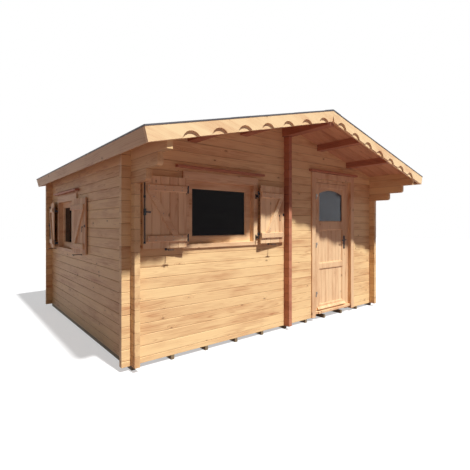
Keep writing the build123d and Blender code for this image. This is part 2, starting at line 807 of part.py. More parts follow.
def shutter_ironware(bottom, with_bolt):
    """Strap hinges, and the long bolt of the leaf that locks, drawn closed from the pin along +X."""
    low = base_z + bottom - shutter_drop
    parts = []
    for ledge in (shutter_lower_ledge, shutter_upper_ledge):
        middle = low + ledge + shutter_ledge_height / 2
        knuckle = rod(0.0, 0.0, middle + hinge_half_gap / 2, middle + shutter_knuckle_height,
                      shutter_pin_radius)
        strap = block(0.0, shutter_pin_offset + shutter_strap_length, -shutter_strap_thickness, 0.0,
                      middle + hinge_half_gap / 2, middle + shutter_strap_height)
        parts.append(knuckle + strap)
    x1 = shutter_pin_offset + shutter_width
    x = x1 - bolt_rod_edge_distance
    back = shutter_board_thickness
    middle = low + shutter_height / 2
    if with_bolt:
        y = back + bolt_rod_radius + bolt_rod_gap
        bolt = rod(x, y, middle - bolt_rod_length / 2, middle + bolt_rod_length / 2, bolt_rod_radius)
        half = bolt_guide_size / 2
        reach = bolt_rod_length / 2 - half
        for share in bolt_guide_shares:
            z = middle + share * reach
            bolt = bolt + block(x - half, x + half, back, back + bolt_guide_height, z - half, z + half)
        z = middle + bolt_lock_share * reach
        bolt = bolt + block(x - half, x + half, back, back + bolt_guide_height + half, z - half, z + half)
        handle = back + bolt_guide_height
        bolt = bolt + block(x - bolt_handle_length, x, handle, handle + half, z - bolt_handle_height / 2,
                            z + bolt_handle_height / 2)
        parts.append(bolt)
    else:
        half = latch_size / 2
        outer = back + bolt_guide_height
        parts.append(block(x - half / 2, x + half / 2, back, outer, middle - half, middle + half))
        hook = x1 - hook_edge_distance
        parts.append(block(hook, hook + hook_width, back, outer, middle - hook_height, middle))
    return parts


def shutter_fixings(centre, bottom):
    """The fixed half of each shutter hinge, and the holdbacks under the open leaves."""
    low = base_z + bottom - shutter_drop
    parts = []
    for hand in (-1, 1):
        x, y = shutter_pin(centre, hand)
        for ledge in (shutter_lower_ledge, shutter_upper_ledge):
            middle = low + ledge + shutter_ledge_height / 2
            z0, z1 = middle - shutter_knuckle_height, middle - hinge_half_gap / 2
            pin = rod(x, y, z0, z1, shutter_pin_radius)
            half = shutter_pin_arm / 2
            pin = pin + block(x - half, x + half, y, front_y - casing_thickness, z0, z1)
            parts.append(pin)
        along = x + hand * holdback_along
        top = low - holdback_gap
        tip = front_y - holdback_reach
        arm = block(along - holdback_width / 2, along + holdback_width / 2, tip, front_y,
                    top - holdback_thickness, top)
        bar = block(along - holdback_bar / 2, along + holdback_bar / 2, tip, tip + holdback_thickness,
                    top - holdback_bar_height, top)
        parts.append(arm + bar)
    return parts


def to_left_wall(shape):
    """Carries a piece drawn on the front wall round to the left wall."""
    moved = Pos(-left_x, -front_y, 0) * shape
    return Pos(left_x, front_y, 0) * mirror(moved, about=Plane(origin=(0, 0, 0), z_dir=(1, -1, 0)))


def write(name, shape):
    """One file for one named node."""
    solids = []
    for item in (shape if isinstance(shape, (list, tuple)) else [shape]):
        solids += list(item.solids())
    export_step(Compound(children=solids) if len(solids) > 1 else solids[0], f"parts/{name}.step")


def all_nodes():
    """Every node of the cabin by name."""
    ridge, purlins = roof_beams()
    beams = [ridge] + purlins
    nodes = {"floor_bearers": floor_bearers(), "floor_boards": floor_boards()}
    nodes.update(front_wall_nodes(beams))
    nodes["back_wall"] = gable_wall(back_y - log_thickness, beams)
    nodes.update(left_wall_nodes())
    nodes.update(right_wall_nodes())
    nodes["front_cross_logs"] = cross_logs(front_y)
    nodes["back_cross_logs"] = cross_logs(back_y - log_thickness)
    nodes["ridge_beam"] = ridge
    nodes["purlins"] = purlins
    nodes["roof_boards_left"] = roof_boards(-1)
    nodes["roof_boards_right"] = roof_boards(1)
    nodes["roofing_felt"] = roofing_felt()
    nodes["ridge_capping"] = ridge_capping()
    nodes["eave_fascias"] = eave_fascias()
    inner_y = roof_front_y + barge_outer_thickness
    nodes["front_bargeboards_inner"] = plain_boards(inner_y, barge_back_y)
    nodes["front_bargeboards_scalloped"] = [scalloped_board(side) for side in (-1, 1)]
    nodes["back_bargeboards"] = plain_boards(back_barge_y, roof_back_y)
    nodes["door_frame"] = door_frame()
    nodes["door_casing"] = door_casing()
    nodes["door_leaf"] = door_leaf()
    nodes["door_panels"] = door_panels()
    nodes["door_glass"] = door_glass()
    nodes["door_hinge_knuckles"] = door_hinges(False)
    nodes["door_ironware"] = door_hinges(True) + door_handles()
    front = (front_window_middle, front_window_bottom)
    side = (left_x + side_window_middle, side_window_bottom)
    nodes["front_window_frame"] = window_frame(*front)
    nodes["front_window_casing"] = window_casing(*front)
    nodes["side_window_frame"] = [to_left_wall(item) for item in window_frame(*side)]
    nodes["side_window_casing"] = [to_left_wall(item) for item in window_casing(*side)]
    nodes["window_glass"] = [window_glass(*front), to_left_wall(window_glass(*side))]
    side_fixings = [to_left_wall(item) for item in shutter_fixings(*side)]
    nodes["shutter_fixings"] = shutter_fixings(*front) + side_fixings
    leaves = (("front_shutter_left", front, -1, True), ("front_shutter_right", front, 1, False),
              ("side_shutter_front", side, -1, False), ("side_shutter_back", side, 1, True))
    for name, place, hand, bolt in leaves:
        leaf = as_open_leaf(shutter_leaf(place[1]), place[0], hand)
        irons = [as_open_leaf(item, place[0], hand) for item in shutter_ironware(place[1], bolt)]
        if place is side:
            leaf = to_left_wall(leaf)
            irons = [to_left_wall(item) for item in irons]
        nodes[name] = leaf
        nodes[name + "_irons"] = irons
    return nodes


os.makedirs("parts", exist_ok=True)
for node_name, node_shape in all_nodes().items():
    write(node_name, node_shape)
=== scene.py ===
"""Looks of the log cabin: oiled softwood logs and boards, black felt and black ironware."""

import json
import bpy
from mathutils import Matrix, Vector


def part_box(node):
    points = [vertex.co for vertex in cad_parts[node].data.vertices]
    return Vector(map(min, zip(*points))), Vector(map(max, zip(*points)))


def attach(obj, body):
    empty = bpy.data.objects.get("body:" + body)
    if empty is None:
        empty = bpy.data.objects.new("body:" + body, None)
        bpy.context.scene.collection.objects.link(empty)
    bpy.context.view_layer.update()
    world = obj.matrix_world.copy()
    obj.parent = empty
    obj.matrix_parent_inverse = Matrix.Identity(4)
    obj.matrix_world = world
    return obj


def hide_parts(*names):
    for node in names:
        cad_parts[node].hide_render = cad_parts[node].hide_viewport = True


bl_info = {
    "name": "Log cabin looks",
    "version": (1, 0, 0),
    "blender": (4, 5, 0),
    "location": "3D View > Sidebar > Cabin",
    "description": "Models and finishes the pieces of a garden log cabin round its solid frame",
    "category": "Object",
}

from math import cos, pi, radians, sin

import bmesh
import bpy
from bpy.props import FloatProperty, FloatVectorProperty, IntProperty, PointerProperty
from mathutils import Matrix, Vector

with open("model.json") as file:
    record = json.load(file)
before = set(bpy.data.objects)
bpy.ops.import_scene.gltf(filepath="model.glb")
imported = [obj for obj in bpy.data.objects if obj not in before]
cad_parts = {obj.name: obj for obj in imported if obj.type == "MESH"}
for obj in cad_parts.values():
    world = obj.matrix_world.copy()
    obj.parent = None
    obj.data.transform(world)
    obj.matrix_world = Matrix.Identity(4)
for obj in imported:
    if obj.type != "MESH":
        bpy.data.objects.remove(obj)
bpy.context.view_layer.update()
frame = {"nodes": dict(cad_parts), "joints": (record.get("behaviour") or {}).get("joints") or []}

# Places read from the frame, in metres
LEAF_LOW, LEAF_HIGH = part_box("door_leaf")
DECK_LOW, DECK_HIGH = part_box("roof_boards_right")
FELT_LOW, FELT_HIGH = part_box("roofing_felt")
SHUTTER_LOW, SHUTTER_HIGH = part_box("front_shutter_left")
FRONT_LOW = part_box("front_wall_middle")[0]
SIDE_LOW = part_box("left_wall_below_window")[0]
RIGHT_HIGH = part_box("right_wall")[1]
BACK_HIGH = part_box("back_wall")[1]
BASE = FRONT_LOW.z
RIDGE = DECK_HIGH.z
JOINTS = {joint["name"]: joint for joint in frame["joints"]}

# Sizes shared by several pieces
X_AXIS, Y_AXIS, Z_AXIS = (1, 0, 0), (0, 1, 0), (0, 0, 1)
COURSE = 0.114
HALF_LOG = 0.029
SLOPE = radians(13.93)
SLOPE_LENGTH = 2.468 / cos(SLOPE)
SLOPES = {"left": -1, "right": 1}
BOARD_GAP = 0.0003
FELT_LIP = 0.012
CASING_THICK = 0.020
SHUTTERS = ("front_shutter_left", "front_shutter_right", "side_shutter_front", "side_shutter_back")
LEAN = radians(6)
LEAF_BOARD = 0.020
PIN_OFFSET = 0.030
SHUTTER_WIDTH = (SHUTTER_HIGH.x - SHUTTER_LOW.x - LEAF_BOARD * sin(LEAN)) / cos(LEAN)
LEDGE_BOTTOMS = (0.066, 0.592)
LEDGE_HEIGHT = 0.072
LEDGE_THICK = 0.020
LEDGE_STOPS_SHORT = 0.043
BRACE_RUN = 0.071
IRON_LINE = PIN_OFFSET + SHUTTER_WIDTH - 0.020

# Carries what is drawn on the front wall onto the left wall
SWAP = Matrix(((0, 1, 0, 0), (1, 0, 0, 0), (0, 0, 1, 0), (0, 0, 0, 1)))
CORNER = Matrix.Translation((SIDE_LOW.x, FRONT_LOW.y, 0))
TO_LEFT = CORNER @ SWAP @ CORNER.inverted()

# The whole piece shows one board's grain
ONE_BOARD = {"row": 2.0, "start": -1.0}

# Light and floor of the stage
FLOOR_BOUNCE = (0.215, 0.138, 0.155, 1.0)
FLOOR_SEEN = (0.50, 0.50, 0.50, 1.0)
FLOOR_GLOW = 0.50
WHITE = (1.0, 1.0, 1.0, 1.0)
SKY_TINT = (0.98, 0.95, 1.0, 1.0)
SKY_STRENGTH = 0.075
SUN_STRENGTH = 4.8
SUN_WIDTH = radians(2.5)
SUN_COURSE = (-0.05, 0.60, -0.90)
CAMERA_PLACE = (-3.647, -4.825, 1.480)
CAMERA_TURN = (radians(90), 0, radians(-38.94))
CAMERA_LENS = 26.90
CAMERA_SHIFT = (0.0003, -0.0256)


# Modelling helpers


def clear_selection():
    if bpy.context.object and bpy.context.object.mode != "OBJECT":
        bpy.ops.object.mode_set(mode="OBJECT")
    bpy.ops.object.select_all(action="DESELECT")


def pick(piece):
    clear_selection()
    piece.select_set(True)
    bpy.context.view_layer.objects.active = piece


def settle(piece):
    """Puts a piece's place, turn and size into its mesh."""
    pick(piece)
    bpy.ops.object.transform_apply(location=True, rotation=True, scale=True)
    return piece


def shaped(piece, kind, **settings):
    """Applies one modifier to a piece."""
    pick(piece)
    bpy.ops.object.modifier_add(type=kind)
    modifier = piece.modifiers[-1]
    for key, value in settings.items():
        setattr(modifier, key, value)
    bpy.ops.object.modifier_apply(modifier=modifier.name)
    return piece


def edited(piece, *steps):
    """Runs edit-mode steps, each an operator and its settings, on all of a piece."""
    pick(piece)
    bpy.ops.object.mode_set(mode="EDIT")
    for step, settings in steps:
        bpy.ops.mesh.select_all(action="SELECT")
        step(**settings)
    bpy.ops.object.mode_set(mode="OBJECT")
    return piece


def soften(piece, width, segments=2, angle=0.6):
    """Rounds a piece's edges."""
    return shaped(piece, "BEVEL", width=width, segments=segments, limit_method="ANGLE", angle_limit=angle)


def smooth(piece):
    pick(piece)
    bpy.ops.object.shade_smooth_by_angle(angle=0.7)
    return piece


def board(low, high, soft=0.002, segments=2):
    """A board with rounded edges between two corners."""
    clear_selection()
    low, high = Vector(low), Vector(high)
    centre = (low + high) / 2
    bpy.ops.mesh.primitive_cube_add(size=1.0, location=centre)
    piece = bpy.context.object
    bpy.ops.object.mode_set(mode="EDIT")
    bpy.ops.transform.resize(value=high - low, center_override=centre)
    bpy.ops.object.mode_set(mode="OBJECT")
    settle(piece)
    if soft:
        soften(piece, soft, segments)
    return piece


def rod(start, end, radius, soft=0.0, sides=20):
    """A round bar between two points."""
    clear_selection()
    start, end = Vector(start), Vector(end)
    along = end - start
    bpy.ops.mesh.primitive_cylinder_add(vertices=sides, radius=radius, depth=along.length,
                                        location=(start + end) / 2)
    piece = bpy.context.object
    piece.rotation_mode = "QUATERNION"
    piece.rotation_quaternion = along.to_track_quat("Z", "Y")
    settle(piece)
    if soft:
        soften(piece, soft, 2)
    return smooth(piece)


def outline(points, start, end, axis="Y", soft=0.0):
    """A closed outline carried along one axis. Points are the other two coordinates in X, Y, Z order."""
    clear_selection()
    count = len(points)
    bpy.ops.mesh.primitive_circle_add(vertices=count, fill_type="NGON")
    piece = bpy.context.object
    bpy.ops.object.mode_set(mode="EDIT")
    mesh = bmesh.from_edit_mesh(piece.data)
    mesh.verts.ensure_lookup_table()
    for vertex, (a, b) in zip(mesh.verts, points):
        vertex.co = {"X": (start, a, b), "Y": (a, start, b), "Z": (a, b, start)}[axis]
    bmesh.update_edit_mesh(piece.data)
    reach = end - start
    travel = {"X": (reach, 0, 0), "Y": (0, reach, 0), "Z": (0, 0, reach)}[axis]
    bpy.ops.mesh.select_all(action="SELECT")
    bpy.ops.mesh.extrude_region_move(TRANSFORM_OT_translate={"value": travel})
    bpy.ops.mesh.select_all(action="SELECT")
    bpy.ops.mesh.normals_make_consistent(inside=False)
    bpy.ops.object.mode_set(mode="OBJECT")
    if soft:
        soften(piece, soft, 2)
    return piece


def dome(centre, normal, radius, height):
    """A low round head of a screw or bolt."""
    normal = Vector(normal).normalized()
    clear_selection()
    bpy.ops.mesh.primitive_uv_sphere_add(segments=12, ring_count=6, radius=radius, location=(0, 0, 0))
    piece = bpy.context.object
    bpy.ops.object.mode_set(mode="EDIT")
    bpy.ops.transform.resize(value=(1, 1, height / radius), center_override=(0, 0, 0))
    bpy.ops.object.mode_set(mode="OBJECT")
    piece.rotation_mode = "QUATERNION"
    piece.rotation_quaternion = normal.to_track_quat("Z", "Y")
    piece.location = Vector(centre)
    settle(piece)
    return smooth(piece)


def bent_bar(points, radius, sides=12):
    """A round bar forged through points, its bends and ends rounded."""
    pieces = [rod(start, end, radius, 0.0, sides) for start, end in zip(points, points[1:])]
    pieces += [dome(point, Z_AXIS, radius, radius) for point in points]
    return joined(pieces, "bar")


def plate(centre, width, height, face, outer, rounding):
    """An upright plate with rounded corners, on a wall that faces along Y."""
    x, z = centre
    corners = ((1, 1), (-1, 1), (-1, -1), (1, -1))
    points = []
    for quarter, (right, up) in enumerate(corners):
        for step in range(6):
            turn = (quarter + step / 5) * pi / 2
            points.append((x + right * (width / 2 - rounding) + rounding * cos(turn),
                           z + up * (height / 2 - rounding) + rounding * sin(turn)))
    return outline(points, face, outer, "Y", abs(outer - face) * 0.25)


def screws(places, normal, radius=None):
    """Low round heads at the given places."""
    radius = radius or sizes().screw
    first = dome((0, 0, 0), normal, radius, radius * 0.35)
    heads = []
    for place in places:
        head = copy_of(first)
        head.location = Vector(place)
        heads.append(settle(head))
    pick(first)
    bpy.ops.object.delete()
    return joined(heads, "heads")


def row_of(piece, count, step):
    """Repeats a piece in a row, in its own mesh."""
    return shaped(piece, "ARRAY", count=count, use_relative_offset=False, use_constant_offset=True,
                  constant_offset_displace=step)


def cut_off(piece, point, normal):
    """Cuts away what lies beyond a plane, on the side its normal points to."""
    plane = {"plane_co": point, "plane_no": normal, "use_fill": True, "clear_outer": True}
    return edited(piece, (bpy.ops.mesh.bisect, plane))


def joined(pieces, name):
    """One piece of several."""
    clear_selection()
    for piece in pieces:
        piece.select_set(True)
    bpy.context.view_layer.objects.active = pieces[0]
    if len(pieces) > 1:
        bpy.ops.object.join()
    piece = bpy.context.object
    piece.name = name
    piece.data.name = name
    return piece


def copy_of(piece):
    pick(piece)
    bpy.ops.object.duplicate(linked=False)
    return bpy.context.object


def moved(piece, matrix):
    """Places a piece by a matrix and settles it, with its faces kept outwards."""
    piece.matrix_world = matrix @ piece.matrix_world
    settle(piece)
    if matrix.determinant() < 0:
        edited(piece, (bpy.ops.mesh.normals_make_consistent, {"inside": False}))
    return piece


def loose_copy(node, *steps):
    """A merged copy of a frame node, ready for shaping."""
    piece = copy_of(frame["nodes"][node])
    piece.parent = None
    return edited(piece, (bpy.ops.mesh.remove_doubles, {"threshold": 0.00002}), *steps)


def softened_node(node, width):
    """A copy of a frame node, its triangles merged and its edges rounded."""
    piece = loose_copy(node, (bpy.ops.mesh.dissolve_limited, {"angle_limit": 0.01}))
    piece.name = node + "_face"
    return soften(piece, width, 2, 0.5)


def combined(piece, other, operation):
    """Adds another piece to this one, or trims this one to what they share, and uses the other up."""
    shaped(piece, "BOOLEAN", operation=operation, solver="EXACT", object=other)
    pick(other)
    bpy.ops.object.delete()
    return piece


def fused_nodes(nodes):
    """One piece of nodes that stand face to face, without the joints between them."""
    piece = loose_copy(nodes[0])
    for node in nodes[1:]:
        combined(piece, loose_copy(node), "UNION")
    return edited(piece, (bpy.ops.mesh.remove_doubles, {"threshold": 0.00005}),
                  (bpy.ops.mesh.dissolve_limited, {"angle_limit": 0.01}))


def in_courses(piece, shift, soft, name):
    """Saws a wall into its courses, and rounds each log's edges."""
    low, high = mesh_heights(piece)
    first = int((low - BASE) / COURSE - shift)
    last = int((high - BASE) / COURSE - shift) + 1
    rough_cut, wide = 0.02, 4
    logs = []
    for number in range(first - 1, last + 1):
        bottom = BASE + (number + shift) * COURSE
        log = copy_of(piece)
        cut_off(log, (0, 0, bottom - rough_cut), (0, 0, -1))
        cut_off(log, (0, 0, bottom + COURSE + rough_cut), (0, 0, 1))
        combined(log, board((-wide, -wide, bottom), (wide, wide, bottom + COURSE), 0.0), "INTERSECT")
        pick(log)
        if not log.data.polygons:
            bpy.ops.object.delete()
            continue
        soften(log, soft, 2, 0.9)
        logs.append(edited(log, (bpy.ops.mesh.vert_connect_concave, {})))
    pick(piece)
    bpy.ops.object.delete()
    return joined(logs, name)


def mesh_heights(piece):
    heights = [vertex.co.z for vertex in piece.data.vertices]
    return min(heights), max(heights)


def finished(piece, body, slot, material, *nodes):
    """Gives a piece its finish and its body, and hides the frame nodes that it stands for."""
    piece.data.materials.clear()
    piece.data.materials.append(material)
    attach(piece, body)
    if nodes:
        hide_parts(*nodes)
    return piece


# Material helpers


def add_node(tree, kind, **settings):
    made = tree.nodes.new(kind)
    for key, value in settings.items():
        setattr(made, key, value)
    return made


def feed(tree, socket, value):
    """Links a socket, or sets a plain value."""
    if hasattr(value, "is_output"):
        tree.links.new(value, socket)
    elif value is not None:
        socket.default_value = value


def fill(tree, node, values):
    """Links or sets several of a node's inputs."""
    for label, value in values.items():
        feed(tree, node.inputs[label], value)


def math_of(tree, operation, a, b=None):
    made = add_node(tree, "ShaderNodeMath", operation=operation)
    for socket, value in zip(made.inputs, (a, b)):
        feed(tree, socket, value)
    return made.outputs[0]


def plus(tree, a, b):
    return math_of(tree, "ADD", a, b)


def minus(tree, a, b):
    return math_of(tree, "SUBTRACT", a, b)


def times(tree, a, b):
    return math_of(tree, "MULTIPLY", a, b)


def split(tree, vector):
    """The three parts of a vector or colour."""
    made = add_node(tree, "ShaderNodeSeparateXYZ")
    feed(tree, made.inputs[0], vector)
    return made.outputs


def vector_of(tree, x, y, z):
    made = add_node(tree, "ShaderNodeCombineXYZ")
    for socket, value in zip(made.inputs, (x, y, z)):
        feed(tree, socket, value)
    return made.outputs[0]


def stretched(tree, vector, scale):
    made = add_node(tree, "ShaderNodeVectorMath", operation="MULTIPLY")
    feed(tree, made.inputs[0], vector)
    made.inputs[1].default_value = scale
    return made.outputs[0]


def noise_of(tree, vector, scale, detail, rough=0.5):
    made = add_node(tree, "ShaderNodeTexNoise")
    fill(tree, made, {"Vector": vector, "Scale": scale, "Detail": detail, "Roughness": rough})
    return made.outputs["Fac"]


def ramp_of(tree, value, low, high, out_low=0.0, out_high=1.0):
    """A smooth step between two values."""
    made = add_node(tree, "ShaderNodeMapRange", interpolation_type="SMOOTHSTEP")
    for socket, given in zip(made.inputs, (value, low, high, out_low, out_high)):
        feed(tree, socket, given)
    return made.outputs[0]


def mix_of(tree, factor, a, b):
    made = add_node(tree, "ShaderNodeMix", data_type="RGBA")
    feed(tree, made.inputs[0], factor)
    feed(tree, made.inputs[6], a)
    feed(tree, made.inputs[7], b)
    return made.outputs[2]


def new_group(name, inputs, outputs):
    """An empty node group with its sockets."""
    group = bpy.data.node_groups.new(name, "ShaderNodeTree")
    for label, kind, default in inputs:
        socket = group.interface.new_socket(name=label, in_out="INPUT", socket_type=kind)
        if default is not None:
            socket.default_value = default
    for label, kind in outputs:
        group.interface.new_socket(name=label, in_out="OUTPUT", socket_type=kind)
    return group, group.nodes.new("NodeGroupInput"), group.nodes.new("NodeGroupOutput")


def new_finish_group(name, inputs):
    """An empty group for a finish, from its inputs' names and plain values, with None for a colour."""
    sockets = [("Place", "NodeSocketVector", None)]
    for label, value in inputs.items():
        sockets.append((label, "NodeSocketColor" if value is None else "NodeSocketFloat", value))
    return new_group(name, sockets, [("Color", "NodeSocketColor"), ("Roughness", "NodeSocketFloat"),
                                     ("Height", "NodeSocketFloat")])


def softwood_group():
    """Growth rings round a heart in each row, knots, and a tone for each row."""
    group = bpy.data.node_groups.get("softwood")
    if group:
        return group
    t, given, out = new_finish_group("softwood", {"Row height": 0.1, "Row start": 0.0, "Light": None, "Dark": None,
                                                  "Knot": None, "Tone spread": 0.3, "Seed": 0.0, "Joint depth": 0.5})
    given = given.outputs
    along, depth, across = split(t, given["Place"])
    rows = math_of(t, "DIVIDE", minus(t, across, given["Row start"]), given["Row height"])
    row = math_of(t, "FLOOR", rows)
    within = minus(t, minus(t, rows, row), 0.5)
    local = times(t, within, given["Row height"])
    chance = add_node(t, "ShaderNodeTexWhiteNoise", noise_dimensions="2D")
    feed(t, chance.inputs["Vector"], vector_of(t, row, given["Seed"], 0.0))
    luck_a, luck_b, luck_c = split(t, chance.outputs["Color"])
    run = plus(t, along, times(t, luck_a, 37.0))
    # Knots
    spot_place = vector_of(t, times(t, run, 2.1), plus(t, times(t, local, 4.4), times(t, row, 3.7)), 0.0)
    spots = add_node(t, "ShaderNodeTexVoronoi", voronoi_dimensions="2D", feature="F1")
    fill(t, spots, {"Vector": spot_place, "Scale": 1.0})
    shape = noise_of(t, vector_of(t, run, depth, local), 26.0, 2.0)
    reach = plus(t, spots.outputs["Distance"], times(t, minus(t, shape, 0.5), 0.05))
    size = minus(t, times(t, split(t, spots.outputs["Color"])[0], 0.075), 0.03)
    knot = ramp_of(t, reach, times(t, size, 0.5), times(t, size, 1.6), 1.0, 0.0)
    knot = times(t, knot, ramp_of(t, size, 0.0, 0.004))
    swirl = times(t, ramp_of(t, reach, 0.0, 0.17, 1.0, 0.0), ramp_of(t, size, 0.0, 0.02))
    # Rings round the heart
    wander = noise_of(t, vector_of(t, times(t, run, 0.9), times(t, depth, 4.0), times(t, across, 4.0)), 1.0, 2.0)
    bend = plus(t, times(t, minus(t, wander, 0.5), 0.05), times(t, swirl, 0.016))
    heart_y = plus(t, plus(t, depth, bend), times(t, minus(t, luck_b, 0.5), 0.11))
    heart_z = plus(t, plus(t, local, bend), times(t, minus(t, luck_c, 0.5), 0.08))
    radius = math_of(t, "SQRT", plus(t, times(t, heart_y, heart_y), times(t, heart_z, heart_z)))
    wobble = noise_of(t, vector_of(t, times(t, run, 0.4), 0.0, times(t, radius, 60.0)), 3.0, 2.0)
    phase = plus(t, times(t, radius, 1150.0), times(t, wobble, 9.0))
    wave = plus(t, times(t, math_of(t, "SINE", phase), 0.5), 0.5)
    place = vector_of(t, run, depth, across)
    fibre = noise_of(t, stretched(t, place, (5.0, 260.0, 260.0)), 1.0, 2.0, 0.7)
    cloud = noise_of(t, stretched(t, place, (1.3, 7.0, 7.0)), 1.0, 3.0, 0.6)
    # Colour
    late = times(t, math_of(t, "POWER", wave, 2.6), ramp_of(t, cloud, 0.3, 0.75, 0.35, 1.0))
    dark = plus(t, times(t, late, 0.42), times(t, fibre, 0.22))
    dark = plus(t, dark, ramp_of(t, cloud, 0.42, 0.8, -0.06, 0.42))
    dark = plus(t, dark, times(t, minus(t, luck_a, 0.5), given["Tone spread"]))
    dark = plus(t, dark, times(t, swirl, 0.12))
    dark = math_of(t, "MAXIMUM", math_of(t, "MINIMUM", dark, 1.0), 0.0)
    tone = mix_of(t, dark, given["Light"], given["Dark"])
    tone = mix_of(t, times(t, knot, 0.6), tone, given["Knot"])
    edge = times(t, ramp_of(t, math_of(t, "ABSOLUTE", within), 0.465, 0.5), given["Joint depth"])
    tall = minus(t, times(t, fibre, 0.4), times(t, late, 0.35))
    fill(t, out, {"Color": mix_of(t, edge, tone, given["Knot"]),
                  "Roughness": plus(t, times(t, fibre, 0.18), 0.42),
                  "Height": minus(t, tall, times(t, edge, 1.6))})
    return t


def principled(name):
    material = bpy.data.materials.new(name)
    material.use_nodes = True
    tree = material.node_tree
    shader = tree.nodes["Principled BSDF"]
    return material, tree, shader


def placed(tree, origin, along, across):
    """Object coordinates turned so that X runs along the grain, Z across the rows and Y through the thickness."""
    along, across = Vector(along).normalized(), Vector(across).normalized()
    thick = across.cross(along)
    turn = Matrix((along, thick, across)).transposed().to_euler()
    where = add_node(tree, "ShaderNodeTexCoord")
    mapping = add_node(tree, "ShaderNodeMapping", vector_type="TEXTURE")
    mapping.inputs["Location"].default_value = origin
    mapping.inputs["Rotation"].default_value = turn
    tree.links.new(where.outputs["Object"], mapping.inputs["Vector"])
    return mapping.outputs[0]


def dress(tree, shader, grain, strength, distance):
    """Feeds a finish's colour, roughness and height into its shader."""
    lift = add_node(tree, "ShaderNodeBump")
    fill(tree, lift, {"Strength": strength, "Distance": distance, "Height": grain.outputs["Height"]})
    fill(tree, shader, {"Base Color": grain.outputs["Color"], "Roughness": grain.outputs["Roughness"],
                        "Normal": lift.outputs["Normal"]})


def wood(name, origin, along, across, palette, seed, row, start, spread=0.2, joint=0.0, bump=0.25):
    """A softwood finish whose grain follows one direction."""
    material, tree, shader = principled(name)
    grain = add_node(tree, "ShaderNodeGroup", node_tree=softwood_group())
    fill(tree, grain, {"Place": placed(tree, origin, along, across), "Row height": row, "Row start": start,
                       "Tone spread": spread, "Seed": seed, "Joint depth": joint})
    fill(tree, grain, {label: (*tone, 1.0) for label, tone in zip(("Light", "Dark", "Knot"), palette)})
    dress(tree, shader, grain, bump, 0.0015)
    fill(tree, shader, {"Specular IOR Level": 0.2})
    return material


def speckle_group():
    """Fine grit and broad weathering for felt and iron."""
    group = bpy.data.node_groups.get("speckle")
    if group:
        return group
    t, given, out = new_finish_group("speckle", {"Grit size": 400.0, "Light": None, "Dark": None, "Dust": 0.3})
    given = given.outputs
    fine = ramp_of(t, noise_of(t, given["Place"], given["Grit size"], 2.0), 0.35, 0.7)
    broad = noise_of(t, given["Place"], 3.0, 4.0, 0.6)
    worn = times(t, ramp_of(t, broad, 0.4, 0.8), given["Dust"])
    level = math_of(t, "MINIMUM", plus(t, times(t, fine, 0.6), worn), 1.0)
    fill(t, out, {"Color": mix_of(t, level, given["Dark"], given["Light"]),
                  "Roughness": plus(t, times(t, level, 0.3), 0.45), "Height": fine})
    return t


def gritty(name, light, dark, grit, dust, metallic, bump, distance):
    """A speckled finish."""
    material, tree, shader = principled(name)
    where = add_node(tree, "ShaderNodeTexCoord")
    grain = add_node(tree, "ShaderNodeGroup", node_tree=speckle_group())
    fill(tree, grain, {"Place": where.outputs["Object"], "Grit size": grit, "Light": (*light, 1.0),
                       "Dark": (*dark, 1.0), "Dust": dust})
    dress(tree, shader, grain, bump, distance)
    fill(tree, shader, {"Metallic": metallic})
    return material


def glass(name, tint, rough, index):
    """Glazing with a faint unevenness and a film of dust."""
    material, tree, shader = principled(name)
    where = add_node(tree, "ShaderNodeTexCoord")
    film = noise_of(tree, where.outputs["Object"], 6.0, 4.0, 0.6)
    dusty = mix_of(tree, ramp_of(tree, film, 0.3, 0.8), (*tint, 1.0), (*lit(tint, 0.85), 1.0))
    fill(tree, shader, {"Base Color": dusty, "Roughness": ramp_of(tree, film, 0.35, 0.9, rough, rough + 0.12),
                        "Transmission Weight": 0.85, "IOR": index})
    return material


# Settings


def colour(name, description, value):
    return FloatVectorProperty(name=name, description=description, default=value, subtype="COLOR", size=3,
                               min=0, max=1)


def length(name, description, value):
    return FloatProperty(name=name, description=description, default=value, unit="LENGTH", subtype="DISTANCE")


class CabinColours(bpy.types.PropertyGroup):
    """Colours of the cabin's finishes."""

    log_light: colour("Log, early wood", "Pale part of the logs' grain", (0.91, 0.65, 0.33))
    log_dark: colour("Log, late wood", "Dark part of the logs' grain", (0.46, 0.18, 0.075))
    log_knot: colour("Log, knots", "Knots and joints of the logs", (0.15, 0.05, 0.022))
    board_light: colour("Board, early wood", "Pale part of the boards' grain", (0.90, 0.64, 0.37))
    board_dark: colour("Board, late wood", "Dark part of the boards' grain", (0.51, 0.225, 0.10))
    beam_light: colour("Beam, early wood", "Pale part of the beams' and cross logs' grain", (0.53, 0.22, 0.125))
    beam_dark: colour("Beam, late wood", "Dark part of the beams' and cross logs' grain", (0.29, 0.10, 0.055))
    # Painted shade: the roof boards' tones are darker and redder than the other boards', for the shade under the
    # roof.
    roof_light: colour("Roof board, early wood", "Pale part of the roof boards' grain", (0.74, 0.40, 0.22))
    roof_dark: colour("Roof board, late wood", "Dark part of the roof boards' grain", (0.38, 0.15, 0.07))
    bearer: colour("Bearers", "Impregnated bearers", (0.16, 0.12, 0.07))
    felt: colour("Felt", "Roofing felt", (0.045, 0.045, 0.05))
    iron: colour("Ironware", "Black ironware", (0.018, 0.018, 0.02))
    pane: colour("Panes", "Window panes", (0.07, 0.075, 0.08))
    door_pane: colour("Door pane", "The door's pane", (0.30, 0.36, 0.43))


class CabinSizes(bpy.types.PropertyGroup):
    """Sizes that the looks add to the frame."""

    softness: length("Log edge", "Rounding of the logs' edges", 0.0022)
    board_softness: length("Board edge", "Rounding of planed boards", 0.0020)
    roof_board: length("Roof board width", "Cover width of one roof board", 0.0962)
    felt_roll: length("Felt width", "Cover width of one run of felt", 0.90)
    shutter_boards: IntProperty(name="Shutter boards", description="Boards in one shutter leaf", default=5)
    screw: length("Screw head", "Radius of a screw head", 0.0045)


def tone_of(name):
    return tuple(getattr(bpy.context.scene.cabin_colours, name))


